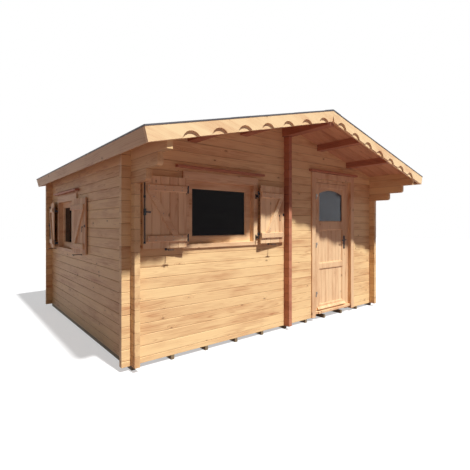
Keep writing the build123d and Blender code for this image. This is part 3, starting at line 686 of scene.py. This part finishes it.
def sizes():
    return bpy.context.scene.cabin_sizes


def tones(kind):
    """Pale wood, dark wood and knots of one kind of timber."""
    return tone_of(kind + "_light"), tone_of(kind + "_dark"), tone_of("log_knot")


def lit(tone, factor):
    """A lighter or darker run of a tone."""
    return tuple(min(1.0, c * factor) for c in tone)


def scaled(palette, factor):
    return tuple(lit(tone, factor) for tone in palette)


def iron():
    tone = tone_of("iron")
    return (bpy.data.materials.get("black_iron")
            or gritty("black_iron", lit(tone, 3.0), tone, 260.0, 0.25, 0.6, 0.15, 0.0004))


def zinc():
    return (bpy.data.materials.get("dull_zinc")
            or gritty("dull_zinc", (0.42, 0.40, 0.36), (0.24, 0.22, 0.20), 320.0, 0.4, 0.8, 0.1, 0.0003))


# Slopes and leaves


def down_slope(side):
    return Vector((side * cos(SLOPE), 0, -sin(SLOPE)))


def off_slope(side):
    return Vector((side * sin(SLOPE), 0, cos(SLOPE)))


def mirrored_x(matrix):
    return matrix @ Matrix.Scale(-1, 4, Vector((1, 0, 0)))


def slope_matrix(side):
    """Carries a piece drawn flat from the ridge along +X onto one slope."""
    onto_ridge = Matrix.Translation((0, 0, RIDGE))
    if side < 0:
        onto_ridge = mirrored_x(onto_ridge)
    return onto_ridge @ Matrix.Rotation(SLOPE, 4, "Y")


def leaf_matrix(leaf):
    """Carries a leaf drawn closed along +X from its pin, at its own height, onto its open place."""
    pin = Vector(JOINTS[leaf + "_hinge"]["pos_m"])
    pin.z = 0.0
    left_hand = leaf in ("front_shutter_left", "side_shutter_front")
    turn = Matrix.Rotation(-(pi + LEAN) if left_hand else pi + LEAN, 4, "Z")
    if not left_hand:
        turn = mirrored_x(turn)
    if leaf.startswith("side"):
        turn = SWAP @ turn
    return Matrix.Translation(pin) @ turn


def front_box(node):
    """A node's box, carried onto the front wall if the node is on the left wall."""
    low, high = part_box(node)
    if node.startswith("side"):
        one, other = TO_LEFT.inverted() @ low, TO_LEFT.inverted() @ high
        low = Vector([min(a, b) for a, b in zip(one, other)])
        high = Vector([max(a, b) for a, b in zip(one, other)])
    return low, high


def put_back(piece, node):
    """Carries what was drawn for a node on the front wall onto the node's own wall."""
    return moved(piece, TO_LEFT) if node.startswith("side") else piece


def cut_at_ridge(piece, side):
    return cut_off(piece, (side * 0.0002, 0, RIDGE), (-side, 0, 0))


# Steps


class CABIN_OT_walls(bpy.types.Operator):
    """Rounds the logs' edges and gives each wall its own grain"""

    bl_idname = "cabin.walls"
    bl_label = "Log walls"

    def execute(self, context):
        front = ("front_wall_left", "front_wall_at_window", "front_wall_middle", "front_wall_right", "front_gable")
        left = ("left_wall_front", "left_wall_below_window", "left_wall_back", "left_wall_top")
        plan = (
            ("front", (front,), (0, FRONT_LOW.y + HALF_LOG, BASE), X_AXIS, 0.5, 1.0),
            ("back", (("back_wall",),), (0, BACK_HIGH.y - HALF_LOG, BASE), X_AXIS, 0.5, 2.0),
            ("left", (left,), (SIDE_LOW.x + HALF_LOG, 0, BASE), Y_AXIS, 0.0, 3.0),
            ("right", (("right_wall", "right_wall_top"),), (RIGHT_HIGH.x - HALF_LOG, 0, BASE), Y_AXIS, 0.0, 4.0),
            ("cross", (("front_cross_logs",), ("back_cross_logs",)), (0, 0, BASE), Y_AXIS, 0.0, 5.0),
        )
        for wall, groups, origin, along, shift, seed in plan:
            palette = tones("beam" if wall == "cross" else "log")
            finish = wood(wall + "_logs", origin, along, Z_AXIS, palette, seed, COURSE, shift * COURSE, 0.34, 0.45)
            for nodes in groups:
                piece = in_courses(fused_nodes(nodes), shift, sizes().softness, nodes[0] + "_logs")
                finished(piece, "cabin", "logs", finish, *nodes)
        return {"FINISHED"}


class CABIN_OT_timbers(bpy.types.Operator):
    """Ridge beam, purlins, bargeboards and eave fascias with planed edges"""

    bl_idname = "cabin.timbers"
    bl_label = "Roof timbers"

    def execute(self, context):
        beam = wood("beam_wood", (0, 0, RIDGE - 0.1), Y_AXIS, Z_AXIS, tones("beam"), 11.0, **ONE_BOARD)
        for node in ("ridge_beam", "purlins"):
            finished(softened_node(node, 0.003), "cabin", "logs", beam, node)
        # Painted shade: the eave fascias take the board tone darkened to 0.82, for the shade they stand in under the
        # eaves.
        fascia_in_painted_shade = wood("fascia_wood", (0, 0, 2.2), Y_AXIS, Z_AXIS, scaled(tones("board"), 0.82), 12.0, **ONE_BOARD)
        finished(softened_node("eave_fascias", 0.002), "cabin", "boards", fascia_in_painted_shade, "eave_fascias")
        for node in ("front_bargeboards_inner", "front_bargeboards_scalloped", "back_bargeboards"):
            piece = softened_node(node, 0.0018)
            # Painted light: the bargeboards take the board tone lightened by 1.22, for the sunlight on their faces.
            finish = wood(node + "_wood", (0, piece.data.vertices[0].co.y, RIDGE), down_slope(1), off_slope(1),
                          scaled(tones("board"), 1.22), 13.0, **ONE_BOARD)
            finished(piece, "cabin", "boards", finish, node)
        return {"FINISHED"}


class CABIN_OT_roof_boards(bpy.types.Operator):
    """Roof boards laid down each slope, with a V at each joint below"""

    bl_idname = "cabin.roof_boards"
    bl_label = "Roof boards"

    def execute(self, context):
        over_length = DECK_HIGH.x / cos(SLOPE) + 0.01
        deck_length = SLOPE_LENGTH - 0.020
        deep, chamfer = 0.019, 0.0035
        start, run = DECK_LOW.y, DECK_HIGH.y - DECK_LOW.y
        count = round(run / sizes().roof_board)
        pitch = run / count
        near, far = start + BOARD_GAP, start + pitch - BOARD_GAP
        points = [(near + chamfer, -deep), (near, -deep + chamfer), (near, 0.0), (far, 0.0),
                  (far, -deep + chamfer), (far - chamfer, -deep)]
        for name, side in SLOPES.items():
            piece = row_of(outline(points, 0.0, over_length, "X"), count, (0, pitch, 0))
            cut_at_ridge(moved(piece, slope_matrix(side)), side)
            cut_off(piece, Vector((0, 0, RIDGE)) + down_slope(side) * deck_length, down_slope(side))
            joined([piece], "roof_boarding_" + name)
            # The roof tone is painted shade: darker and redder boards for the shade under the roof.
            finish = wood(name + "_roof_board_wood", (0, 0, RIDGE), down_slope(side), Y_AXIS, tones("roof"),
                          20.0 + side, pitch, start, 0.42, 0.25)
            finished(piece, "cabin", "boards", finish, "roof_boards_" + name)
        return {"FINISHED"}


class CABIN_OT_felt(bpy.types.Operator):
    """Runs of felt that lap down each slope, their turned edges and the ridge capping"""

    bl_idname = "cabin.felt"
    bl_label = "Roofing felt"

    def execute(self, context):
        tone = tone_of("felt")
        finish = gritty("grit_felt", lit(tone, 3.2), tone, 700.0, 0.35, 0.0, 0.5, 0.0008)
        lap, thin, thick = 0.09, 0.0013, 0.0028
        reach = SLOPE_LENGTH + thick
        front, back = FELT_LOW.y, FELT_HIGH.y
        for name, side in SLOPES.items():
            strips = []
            stop = reach
            while stop > 0.0:
                start = max(stop - sizes().felt_roll - lap, 0.0)
                points = [(start, 0.0), (stop, thin), (stop, thin + 0.0012), (stop - lap, thick), (start, thin)]
                if stop == reach:
                    points = [(start, 0.0), (stop, 0.0), (stop, thin), (start, thin)]
                strips.append(outline(points, front, back, "Y"))
                stop -= sizes().felt_roll
            eave = [(SLOPE_LENGTH, 0.0), (reach, 0.0), (reach, -FELT_LIP), (SLOPE_LENGTH, -FELT_LIP)]
            strips.append(outline(eave, front, back, "Y"))
            for edge in (front, back - thick):
                strips.append(board((0, edge, -FELT_LIP), (reach, edge + thick, 0.0005), 0.0006, 1))
            piece = cut_at_ridge(moved(joined(strips, "felt_runs_" + name), slope_matrix(side)), side)
            finished(piece, "cabin", "felt", finish, *(("roofing_felt",) if side < 0 else ()))
        finished(softened_node("ridge_capping", 0.0008), "cabin", "felt", finish, "ridge_capping")
        nails = []
        count, margin = 30, 0.05
        for side in SLOPES.values():
            head = screws([(0, 0, 0)], Z_AXIS, 0.005)
            head.location = (0.148, front + margin, thick * 2 + 0.0002)
            settle(head)
            row_of(head, count, (0, (back - front - 2 * margin) / (count - 1), 0))
            nails.append(moved(head, slope_matrix(side)))
        finished(joined(nails, "capping_nails"), "cabin", "iron", zinc())
        return {"FINISHED"}


class CABIN_OT_floor(bpy.types.Operator):
    """Floor boards and the bearers under them"""

    bl_idname = "cabin.floor"
    bl_label = "Floor"

    def execute(self, context):
        low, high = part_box("floor_boards")
        count = round((high.y - low.y) / 0.11)
        pitch = (high.y - low.y) / count
        edge, near, far = 0.0025, low.y + BOARD_GAP, low.y + pitch - BOARD_GAP
        section = [(near, low.z), (far, low.z), (far, high.z - edge),
                   (far - edge, high.z), (near + edge, high.z), (near, high.z - edge)]
        boards = row_of(outline(section, low.x, high.x, "X"), count, (0, pitch, 0))
        combined(boards, loose_copy("floor_boards"), "INTERSECT")
        joined([boards], "floor_boarding")
        floor = wood("floor_wood", (0, 0, BASE), X_AXIS, Y_AXIS, tones("board"), 30.0, pitch, low.y, 0.35, 0.4)
        finished(boards, "cabin", "floor", floor, "floor_boards")
        tone = tone_of("bearer")
        palette = (lit(tone, 1.7), tone, lit(tone, 0.4))
        bearers = wood("bearer_wood", (0, 0, 0), Y_AXIS, Z_AXIS, palette, 31.0, spread=0.1, bump=0.6, **ONE_BOARD)
        finished(softened_node("floor_bearers", 0.0015), "cabin", "bearers", bearers, "floor_bearers")
        return {"FINISHED"}


def darken_above(piece, height, material):
    """Gives the faces above a height a finish of their own, a darker wood."""
    piece.data.materials.append(material)
    for face in piece.data.polygons:
        if face.center.z > height:
            face.material_index = 1


def bead_frame(low_x, high_x, low_z, high_z, face, depth, width):
    """Four thin moulded strips round an opening on a wall that faces along Y, mitred at the corners."""
    strips = []
    middle = Vector(((low_x + high_x) / 2, 0, (low_z + high_z) / 2))
    for turn, half_run, half_rise in ((0, (high_x - low_x) / 2, (high_z - low_z) / 2),
                                      (90, (high_z - low_z) / 2, (high_x - low_x) / 2)):
        for flip in (0, 180):
            z = -half_rise
            section = [(face, z), (face - depth, z), (face - depth, z + width * 0.35),
                       (face - depth * 0.55, z + width * 0.55), (face - depth * 0.4, z + width), (face, z + width)]
            strip = outline(section, -half_run, half_run, "X")
            cut_off(strip, (-half_run, 0, z), (-1, 0, 1))
            cut_off(strip, (half_run, 0, z), (1, 0, 1))
            strips.append(moved(strip, Matrix.Translation(middle) @ Matrix.Rotation(radians(turn + flip), 4, "Y")))
    return strips


class CABIN_OT_joinery(bpy.types.Operator):
    """Casings, drip boards, frames, glazing beads and panes of the door and windows"""

    bl_idname = "cabin.joinery"
    bl_label = "Frames and casings"

    def execute(self, context):
        soft = sizes().board_softness
        front, left = (0, FRONT_LOW.y, 0), (SIDE_LOW.x, 0, 0)
        rows = {"row": 0.31, "start": 0.0, "spread": 0.25}
        upright = wood("upright_front_wood", front, Z_AXIS, X_AXIS, tones("board"), 40.0, **ONE_BOARD)
        flat = wood("level_front_wood", front, X_AXIS, Z_AXIS, tones("board"), 41.0, **rows)
        side = wood("side_joinery_wood", left, Y_AXIS, Z_AXIS, tones("board"), 42.0, **rows)
        for node, finish in (("door_frame", upright), ("door_casing", upright), ("front_window_casing", flat),
                             ("front_window_frame", flat), ("side_window_casing", side), ("side_window_frame", side)):
            piece = finished(softened_node(node, soft), "cabin", "boards", finish, node)
            if node.endswith("_casing"):
                along = Y_AXIS if finish == side else X_AXIS
                # The drip board on top of each casing is drawn in the darker, redder beam tone.
                darker_drip = wood(node + "_drip_wood", (0, 0, 0), along, Z_AXIS, tones("beam"), 45.0, **ONE_BOARD)
                darken_above(piece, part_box(node)[1].z - 0.045, darker_drip)
        window_pane = glass("window_pane", tone_of("pane"), 0.02, 1.15)
        door_pane = glass("door_pane", tone_of("door_pane"), 0.10, 1.45)
        for node, pane in (("window_glass", window_pane), ("door_glass", door_pane)):
            frame["nodes"][node].data.materials.clear()
            frame["nodes"][node].data.materials.append(pane)
        inner = 0.095
        for window, finish in (("front_window", flat), ("side_window", side)):
            low, high = front_box(window + "_frame")
            strips = bead_frame(low.x + inner, high.x - inner, low.z + inner, high.z - inner,
                                low.y + 0.066, 0.014, 0.013)
            beads = [put_back(strip, window) for strip in strips]
            finished(joined(beads, window + "_beads"), "cabin", "boards", finish)
        self.nail_casings()
        return {"FINISHED"}

    def nail_casings(self):
        """Two nails at each of five heights up every upright casing board."""
        heads = []
        nail_y = FRONT_LOW.y - CASING_THICK - 0.0002
        for node, side_middle in (("door_casing", 0.092), ("front_window_casing", 0.128),
                                  ("side_window_casing", 0.128)):
            low, high = front_box(node)
            places = []
            for x in (low.x + side_middle, high.x - side_middle):
                for share in (0.04, 0.27, 0.5, 0.73, 0.86):
                    z = low.z + (high.z - low.z) * share
                    places += [(x - 0.022, nail_y, z), (x + 0.022, nail_y, z)]
            heads.append(put_back(screws(places, (0, -1, 0), 0.0035), node))
        finished(joined(heads, "casing_nails"), "cabin", "iron", zinc())


class CABIN_OT_door(bpy.types.Operator):
    """The door leaf, its boarded panels, their beads and the lever handles"""

    bl_idname = "cabin.door"
    bl_label = "Door"

    def execute(self, context):
        upright = wood("door_stile_wood", (LEAF_LOW.x, LEAF_LOW.y, 0), Z_AXIS, X_AXIS, tones("board"), 50.0,
                       **ONE_BOARD)
        finished(softened_node("door_leaf", 0.002), "door", "boards", upright, "door_leaf")
        low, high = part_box("door_panels")
        boards = wood("door_panel_wood", (low.x, low.y, 0), Z_AXIS, X_AXIS, tones("board"), 51.0,
                      (high.x - low.x) / 7, 0.0, 0.3, 0.3)
        finished(softened_node("door_panels", 0.0012), "door", "boards", boards, "door_panels")
        pane_low, pane_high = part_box("door_glass")
        beads = []
        for bottom, top in panel_levels():
            beads += bead_frame(low.x, high.x, bottom, top, low.y, 0.012, 0.014)
        beads += bead_frame(pane_low.x, pane_high.x, pane_low.z, pane_high.z, pane_low.y - 0.0082, 0.010, 0.010)
        finished(joined(beads, "door_beads"), "door", "boards", upright)
        section = [(LEAF_LOW.y - out, LEAF_LOW.z + up) for out, up in
                   ((0.0, 0.012), (0.030, 0.012), (0.030, 0.022), (0.008, 0.050), (0.0, 0.050))]
        drip = outline(section, LEAF_LOW.x + 0.02, LEAF_HIGH.x - 0.02, "X", 0.0015)
        finished(joined([drip], "door_weather_bar"), "door", "boards", upright)
        self.handles()
        return {"FINISHED"}

    def handles(self):
        """A long rounded plate with its lever, keyhole and screws on both faces."""
        x, middle = LEAF_HIGH.x - 0.032, BASE + 1.110
        lever = middle + 0.040
        keyhole = middle - 0.035
        pieces = []
        for face, sign in ((LEAF_LOW.y, -1), (LEAF_HIGH.y, 1)):
            skin, neck_end = face + sign * 0.005, face + sign * 0.040
            pieces += [
                plate((x, middle), 0.038, 0.220, face, skin, 0.017),
                rod((x, face + sign * 0.004, lever), (x, face + sign * 0.014, lever), 0.0125, 0.002),
                bent_bar([(x, skin, lever), (x, neck_end, lever), (x - 0.030, neck_end, lever + 0.002),
                          (x - 0.070, neck_end, lever - 0.002), (x - 0.104, neck_end, lever - 0.006)], 0.0072),
                rod((x, face + sign * 0.0045, keyhole), (x, face + sign * 0.0075, keyhole), 0.0095, 0.0008),
                screws([(x, skin, middle + 0.096), (x, skin, middle - 0.096)], (0, sign, 0)),
            ]
        leaves = hinge_halves("door_ironware", "door_hinge_leaves")
        finished(leaves, "door", "iron", zinc())
        finished(joined(pieces, "door_handles"), "door", "iron", iron(), "door_ironware")
        knuckles = hinge_halves("door_hinge_knuckles", "fixed_door_hinges")
        finished(knuckles, "cabin", "iron", zinc(), "door_hinge_knuckles")


def panel_levels():
    """Lowest and highest places of the two door panels, from their mesh."""
    heights = sorted({round(vertex.co.z, 4) for vertex in frame["nodes"]["door_panels"].data.vertices})
    return (heights[0], heights[1]), (heights[2], heights[3])


def hinge_halves(node, name):
    """A softened copy of a node's hinge halves, without what stands far from the door's pin."""
    piece = softened_node(node, 0.0006)
    if node == "door_ironware":
        cut_off(piece, (JOINTS["door_hinge"]["pos_m"][0] + 0.2, 0, 0), (1, 0, 0))
    return joined([piece], name)


class CABIN_OT_shutters(bpy.types.Operator):
    """Four boarded shutter leaves with ledges, braces and screws"""

    bl_idname = "cabin.shutters"
    bl_label = "Shutter leaves"

    def execute(self, context):
        for number, leaf in enumerate(SHUTTERS):
            low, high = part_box(leaf)
            across = X_AXIS if leaf.startswith("front") else Y_AXIS
            finish = wood(leaf + "_wood", (low.x, low.y, 0), Z_AXIS, across, tones("board"), 60.0 + number,
                          SHUTTER_WIDTH / sizes().shutter_boards, 0.0, 0.5)
            level = wood(leaf + "_ledge_wood", (low.x, low.y, low.z), across, Z_AXIS, tones("board"),
                         70.0 + number, 0.3, 0.0, 0.4)
            boards, ledges, heads = self.draw_leaf(low.z, high.z)
            matrix = leaf_matrix(leaf)
            finished(moved(joined(boards, leaf + "_boards"), matrix), leaf, "boards", finish, leaf)
            finished(moved(joined(ledges, leaf + "_ledges"), matrix), leaf, "boards", level)
            finished(moved(joined([heads], leaf + "_screws"), matrix), leaf, "iron", zinc())
        return {"FINISHED"}

    def draw_leaf(self, bottom, top):
        """Boards, then ledges and brace, then screw heads, drawn closed along +X from the pin."""
        count = sizes().shutter_boards
        pitch = SHUTTER_WIDTH / count
        edge, gap, chamfer = 0.004, 0.0012, 0.006
        boards = []
        for number in range(count):
            x0 = PIN_OFFSET + number * pitch + (gap if number else 0.0)
            x1 = PIN_OFFSET + (number + 1) * pitch - (gap if number < count - 1 else 0.0)
            section = [(x0 + edge, 0.0), (x1 - edge, 0.0), (x1, edge), (x1, LEAF_BOARD - edge),
                       (x1 - edge, LEAF_BOARD), (x0 + edge, LEAF_BOARD), (x0, LEAF_BOARD - edge), (x0, edge)]
            boards.append(outline(section, bottom, top, "Z", 0.0008))
        start, stop = PIN_OFFSET, PIN_OFFSET + SHUTTER_WIDTH - LEDGE_STOPS_SHORT
        inner = LEAF_BOARD + LEDGE_THICK
        ledges, places = [], []
        for low in (bottom + rise for rise in LEDGE_BOTTOMS):
            high = low + LEDGE_HEIGHT
            section = [(LEAF_BOARD, low), (inner - chamfer, low), (inner, low + chamfer), (inner, high - chamfer),
                       (inner - chamfer, high), (LEAF_BOARD, high)]
            ledges.append(outline(section, start, stop, "X", 0.0015))
            for number in range(count):
                x = min(PIN_OFFSET + (number + 0.5) * pitch + 0.012, stop - 0.02)
                places += [(x, inner, low + 0.018), (x, inner, low + 0.054)]
        low, high = bottom + LEDGE_BOTTOMS[0] + LEDGE_HEIGHT, bottom + LEDGE_BOTTOMS[1]
        foot, head = start + pitch, stop - BRACE_RUN
        brace = [(foot, low), (foot + BRACE_RUN, low), (stop, high), (head, high)]
        ledges.append(outline(brace, LEAF_BOARD, inner, "Y", 0.003))
        for share in (0.12, 0.5, 0.88):
            places.append((foot + BRACE_RUN / 2 + (head - foot) * share, inner, low + (high - low) * share))
        return boards, ledges, screws(places, (0, 1, 0))


def strap_heights(leaf):
    """The middles of a leaf's two ledges, where its straps lie."""
    return [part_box(leaf)[0].z + rise + LEDGE_HEIGHT / 2 for rise in LEDGE_BOTTOMS]


class CABIN_OT_ironware(bpy.types.Operator):
    """Strap hinges, pins, bolts, hooks and holdbacks of the shutters"""

    bl_idname = "cabin.ironware"
    bl_label = "Shutter ironware"

    def execute(self, context):
        finish = iron()
        for leaf in SHUTTERS:
            low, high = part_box(leaf)
            middle = (low.z + high.z) / 2
            pieces = []
            for strap in strap_heights(leaf):
                pieces += self.strap(strap)
            pieces += self.bolt(middle) if leaf in ("front_shutter_left", "side_shutter_back") else self.hook(middle)
            piece = moved(joined(pieces, leaf + "_ironwork"), leaf_matrix(leaf))
            finished(piece, leaf, "iron", finish, leaf + "_irons")
        fixed = []
        for leaf, hand in zip(SHUTTERS, (-1, 1, -1, 1)):
            fixed += [put_back(piece, leaf) for piece in self.fixings(leaf, hand)]
        finished(joined(fixed, "shutter_pins_and_holdbacks"), "cabin", "iron", finish, "shutter_fixings")
        return {"FINISHED"}

    def strap(self, middle):
        """A tapering strap that wraps the pin, with its screws."""
        thick = 0.004
        low, high = middle + 0.0005, middle + 0.026
        centre = (low + high) / 2
        end = PIN_OFFSET + 0.150
        points = [(0.0, low), (end - 0.030, low + 0.003), (end - 0.008, centre - 0.008), (end, centre),
                  (end - 0.008, centre + 0.008), (end - 0.030, high - 0.003), (0.0, high)]
        places = [(x, -thick, centre) for x in (0.050, 0.095, 0.140)]
        return [outline(points, -thick, 0.0, "Y", 0.0008),
                rod((0, 0, low), (0, 0, middle + 0.042), 0.0070, 0.0012),
                screws(places, (0, -1, 0))]

    def bolt(self, middle):
        """A long bolt with its guides, lock case and lever."""
        x, y, half = IRON_LINE, LEAF_BOARD + 0.008, 0.325
        pieces = [rod((x, y, middle - half), (x, y, middle + half), 0.0060, 0.0015)]

        def block(wide, tall, back, front, centre, *rounding):
            pieces.append(board((x - wide, LEAF_BOARD + back, centre - tall),
                                (x + wide, LEAF_BOARD + front, centre + tall), *rounding))

        for share in (-1.0, 0.5, 1.0):
            guide = middle + share * (half - 0.011)
            block(0.009, 0.009, 0.001, 0.016, guide, 0.004, 3)
            block(0.011, 0.011, 0.0, 0.003, guide, 0.001)
        block(0.013, 0.034, 0.0, 0.016, middle, 0.003, 3)
        pieces.append(rod((x, LEAF_BOARD + 0.014, middle), (x, LEAF_BOARD + 0.027, middle), 0.0110, 0.002))
        lever = [(x + along, middle + up) for along, up in
                 ((0.006, 0.010), (-0.030, 0.006), (-0.052, 0.009), (-0.062, 0.004), (-0.062, -0.006),
                  (-0.050, -0.011), (-0.028, -0.006), (0.006, -0.010))]
        pieces.append(outline(lever, LEAF_BOARD + 0.016, LEAF_BOARD + 0.026, "Y", 0.0025))
        places = [(x - 0.008, LEAF_BOARD + 0.016, middle + up) for up in (0.027, -0.027)]
        pieces.append(screws(places, (0, 1, 0), 0.003))
        return pieces

    def hook(self, middle):
        """A keep plate at the leaf's edge and a hanging hook."""
        keep_bar = ((0.0, 0.002, 0.010), (0.0, 0.013, 0.008), (0.0, 0.013, -0.008), (0.0, 0.002, -0.010))
        hook_bar = ((0.0, 0.002, -0.012), (0.0, 0.008, -0.014), (0.002, 0.008, -0.045), (0.0, 0.008, -0.076),
                    (0.005, 0.011, -0.080), (0.006, 0.011, -0.070))
        pieces = []
        for x, up, size, rounding, bar, radius in (
                (IRON_LINE, 0.0, (0.020, 0.034), 0.004, keep_bar, 0.0028),
                (IRON_LINE - 0.084, -0.012, (0.016, 0.024), 0.003, hook_bar, 0.0030)):
            pieces.append(plate((x, middle + up), *size, LEAF_BOARD, LEAF_BOARD + 0.003, rounding))
            pieces.append(bent_bar([(x + a, LEAF_BOARD + b, middle + c) for a, b, c in bar], radius))
        return pieces

    def fixings(self, leaf, hand):
        """Fixed pins with their plates, and the holdback under one leaf, on the front wall."""
        pin = Vector(JOINTS[leaf + "_hinge"]["pos_m"])
        if leaf.startswith("side"):
            pin = TO_LEFT.inverted() @ pin
        x, casing = pin.x, FRONT_LOW.y - CASING_THICK
        pieces = []
        for middle in strap_heights(leaf):
            pieces += [
                rod((x, pin.y, middle - 0.042), (x, pin.y, middle - 0.0005), 0.0068, 0.0012),
                board((x - 0.005, pin.y, middle - 0.034), (x + 0.005, casing, middle - 0.006), 0.001),
                plate((x, middle - 0.021), 0.020, 0.060, casing, casing - 0.003, 0.004),
                screws([(x, casing - 0.003, middle + up) for up in (-0.045, 0.003)], (0, -1, 0)),
            ]
        along, top = x + hand * 0.240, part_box(leaf)[0].z - 0.012
        tip, bar_z = FRONT_LOW.y - 0.118, top - 0.005
        blade = [(-0.038, -0.003), (-0.020, 0.0), (0.016, -0.001), (0.030, -0.006), (0.038, -0.012), (0.032, -0.013),
                 (0.018, -0.009), (-0.016, -0.009), (-0.034, -0.011)]
        return pieces + [
            bent_bar([(along, FRONT_LOW.y, bar_z), (along, tip + 0.005, bar_z)], 0.0048),
            plate((along, bar_z), 0.026, 0.026, FRONT_LOW.y - 0.0005, FRONT_LOW.y - 0.004, 0.006),
            outline([(along + hand * a, top + b) for a, b in blade], tip, tip + 0.008, "Y", 0.001),
        ]


def seen_rays(tree):
    """1 for rays that look at a surface directly, in a reflection or through glass, and 0 for light that bounces."""
    rays = add_node(tree, "ShaderNodeLightPath").outputs
    through = math_of(tree, "MAXIMUM", rays["Is Glossy Ray"], rays["Is Transmission Ray"])
    return math_of(tree, "MAXIMUM", rays["Is Camera Ray"], through)


def backdrop(tree, colour, strength):
    """A plain light from all round."""
    made = add_node(tree, "ShaderNodeBackground")
    fill(tree, made, {"Color": colour, "Strength": strength})
    return made.outputs[0]


class CABIN_OT_stage(bpy.types.Operator):
    """Floor, lights, backdrop and camera"""

    bl_idname = "cabin.stage"
    bl_label = "Stage"

    def execute(self, context):
        clear_selection()
        bpy.ops.mesh.primitive_plane_add(size=60.0, location=(0, 0, 0))
        floor = bpy.context.object
        floor.name = "studio_floor"
        material, tree, shader = principled("pale_floor")
        seen = seen_rays(tree)
        fill(tree, shader, {"Roughness": 0.9, "Base Color": mix_of(tree, seen, FLOOR_BOUNCE, FLOOR_SEEN),
                            "Emission Color": WHITE, "Emission Strength": times(tree, seen, FLOOR_GLOW)})
        floor.data.materials.append(material)
        world = bpy.data.worlds.new("studio_world")
        context.scene.world = world
        world.use_nodes = True
        tree = world.node_tree
        tree.nodes.clear()
        mix = add_node(tree, "ShaderNodeMixShader")
        sources = (seen_rays(tree), backdrop(tree, SKY_TINT, SKY_STRENGTH), backdrop(tree, WHITE, 1.0))
        for socket, source in zip(mix.inputs, sources):
            feed(tree, socket, source)
        feed(tree, add_node(tree, "ShaderNodeOutputWorld").inputs[0], mix.outputs[0])
        clear_selection()
        bpy.ops.object.light_add(type="SUN", location=(3.0, -6.0, 8.0))
        lamp = bpy.context.object
        lamp.name = "key_light"
        lamp.data.energy = SUN_STRENGTH
        lamp.data.angle = SUN_WIDTH
        lamp.rotation_mode = "QUATERNION"
        lamp.rotation_quaternion = Vector(SUN_COURSE).to_track_quat("-Z", "Y")
        bpy.ops.object.camera_add(location=CAMERA_PLACE, rotation=CAMERA_TURN)
        camera = bpy.context.object
        camera.name = "camera"
        camera.data.sensor_width = 36.0
        camera.data.lens = CAMERA_LENS
        camera.data.shift_x, camera.data.shift_y = CAMERA_SHIFT
        camera.data.clip_end = 200.0
        context.scene.camera = camera
        context.scene.view_settings.view_transform = "Standard"
        return {"FINISHED"}


class CABIN_PT_sidebar(bpy.types.Panel):
    """Lists the steps that build the cabin's looks"""

    bl_idname = "CABIN_PT_sidebar"
    bl_label = "Log cabin"
    bl_space_type = "VIEW_3D"
    bl_region_type = "UI"
    bl_category = "Cabin"

    def draw(self, context):
        for step in STEPS:
            self.layout.operator(step.bl_idname)
        for group in (context.scene.cabin_colours, context.scene.cabin_sizes):
            for name in group.__annotations__:
                self.layout.prop(group, name)


STEPS = (CABIN_OT_walls, CABIN_OT_timbers, CABIN_OT_roof_boards, CABIN_OT_felt, CABIN_OT_floor, CABIN_OT_joinery,
         CABIN_OT_door, CABIN_OT_shutters, CABIN_OT_ironware, CABIN_OT_stage)
CLASSES = (CabinColours, CabinSizes, *STEPS, CABIN_PT_sidebar)


def register():
    for kind in CLASSES:
        bpy.utils.register_class(kind)
    bpy.types.Scene.cabin_colours = PointerProperty(type=CabinColours)
    bpy.types.Scene.cabin_sizes = PointerProperty(type=CabinSizes)


def unregister():
    del bpy.types.Scene.cabin_sizes
    del bpy.types.Scene.cabin_colours
    for kind in reversed(CLASSES):
        bpy.utils.unregister_class(kind)


def main():
    register()
    for step in STEPS:
        family, name = step.bl_idname.split(".")
        getattr(getattr(bpy.ops, family), name)()


if __name__ == "__main__":
    main()
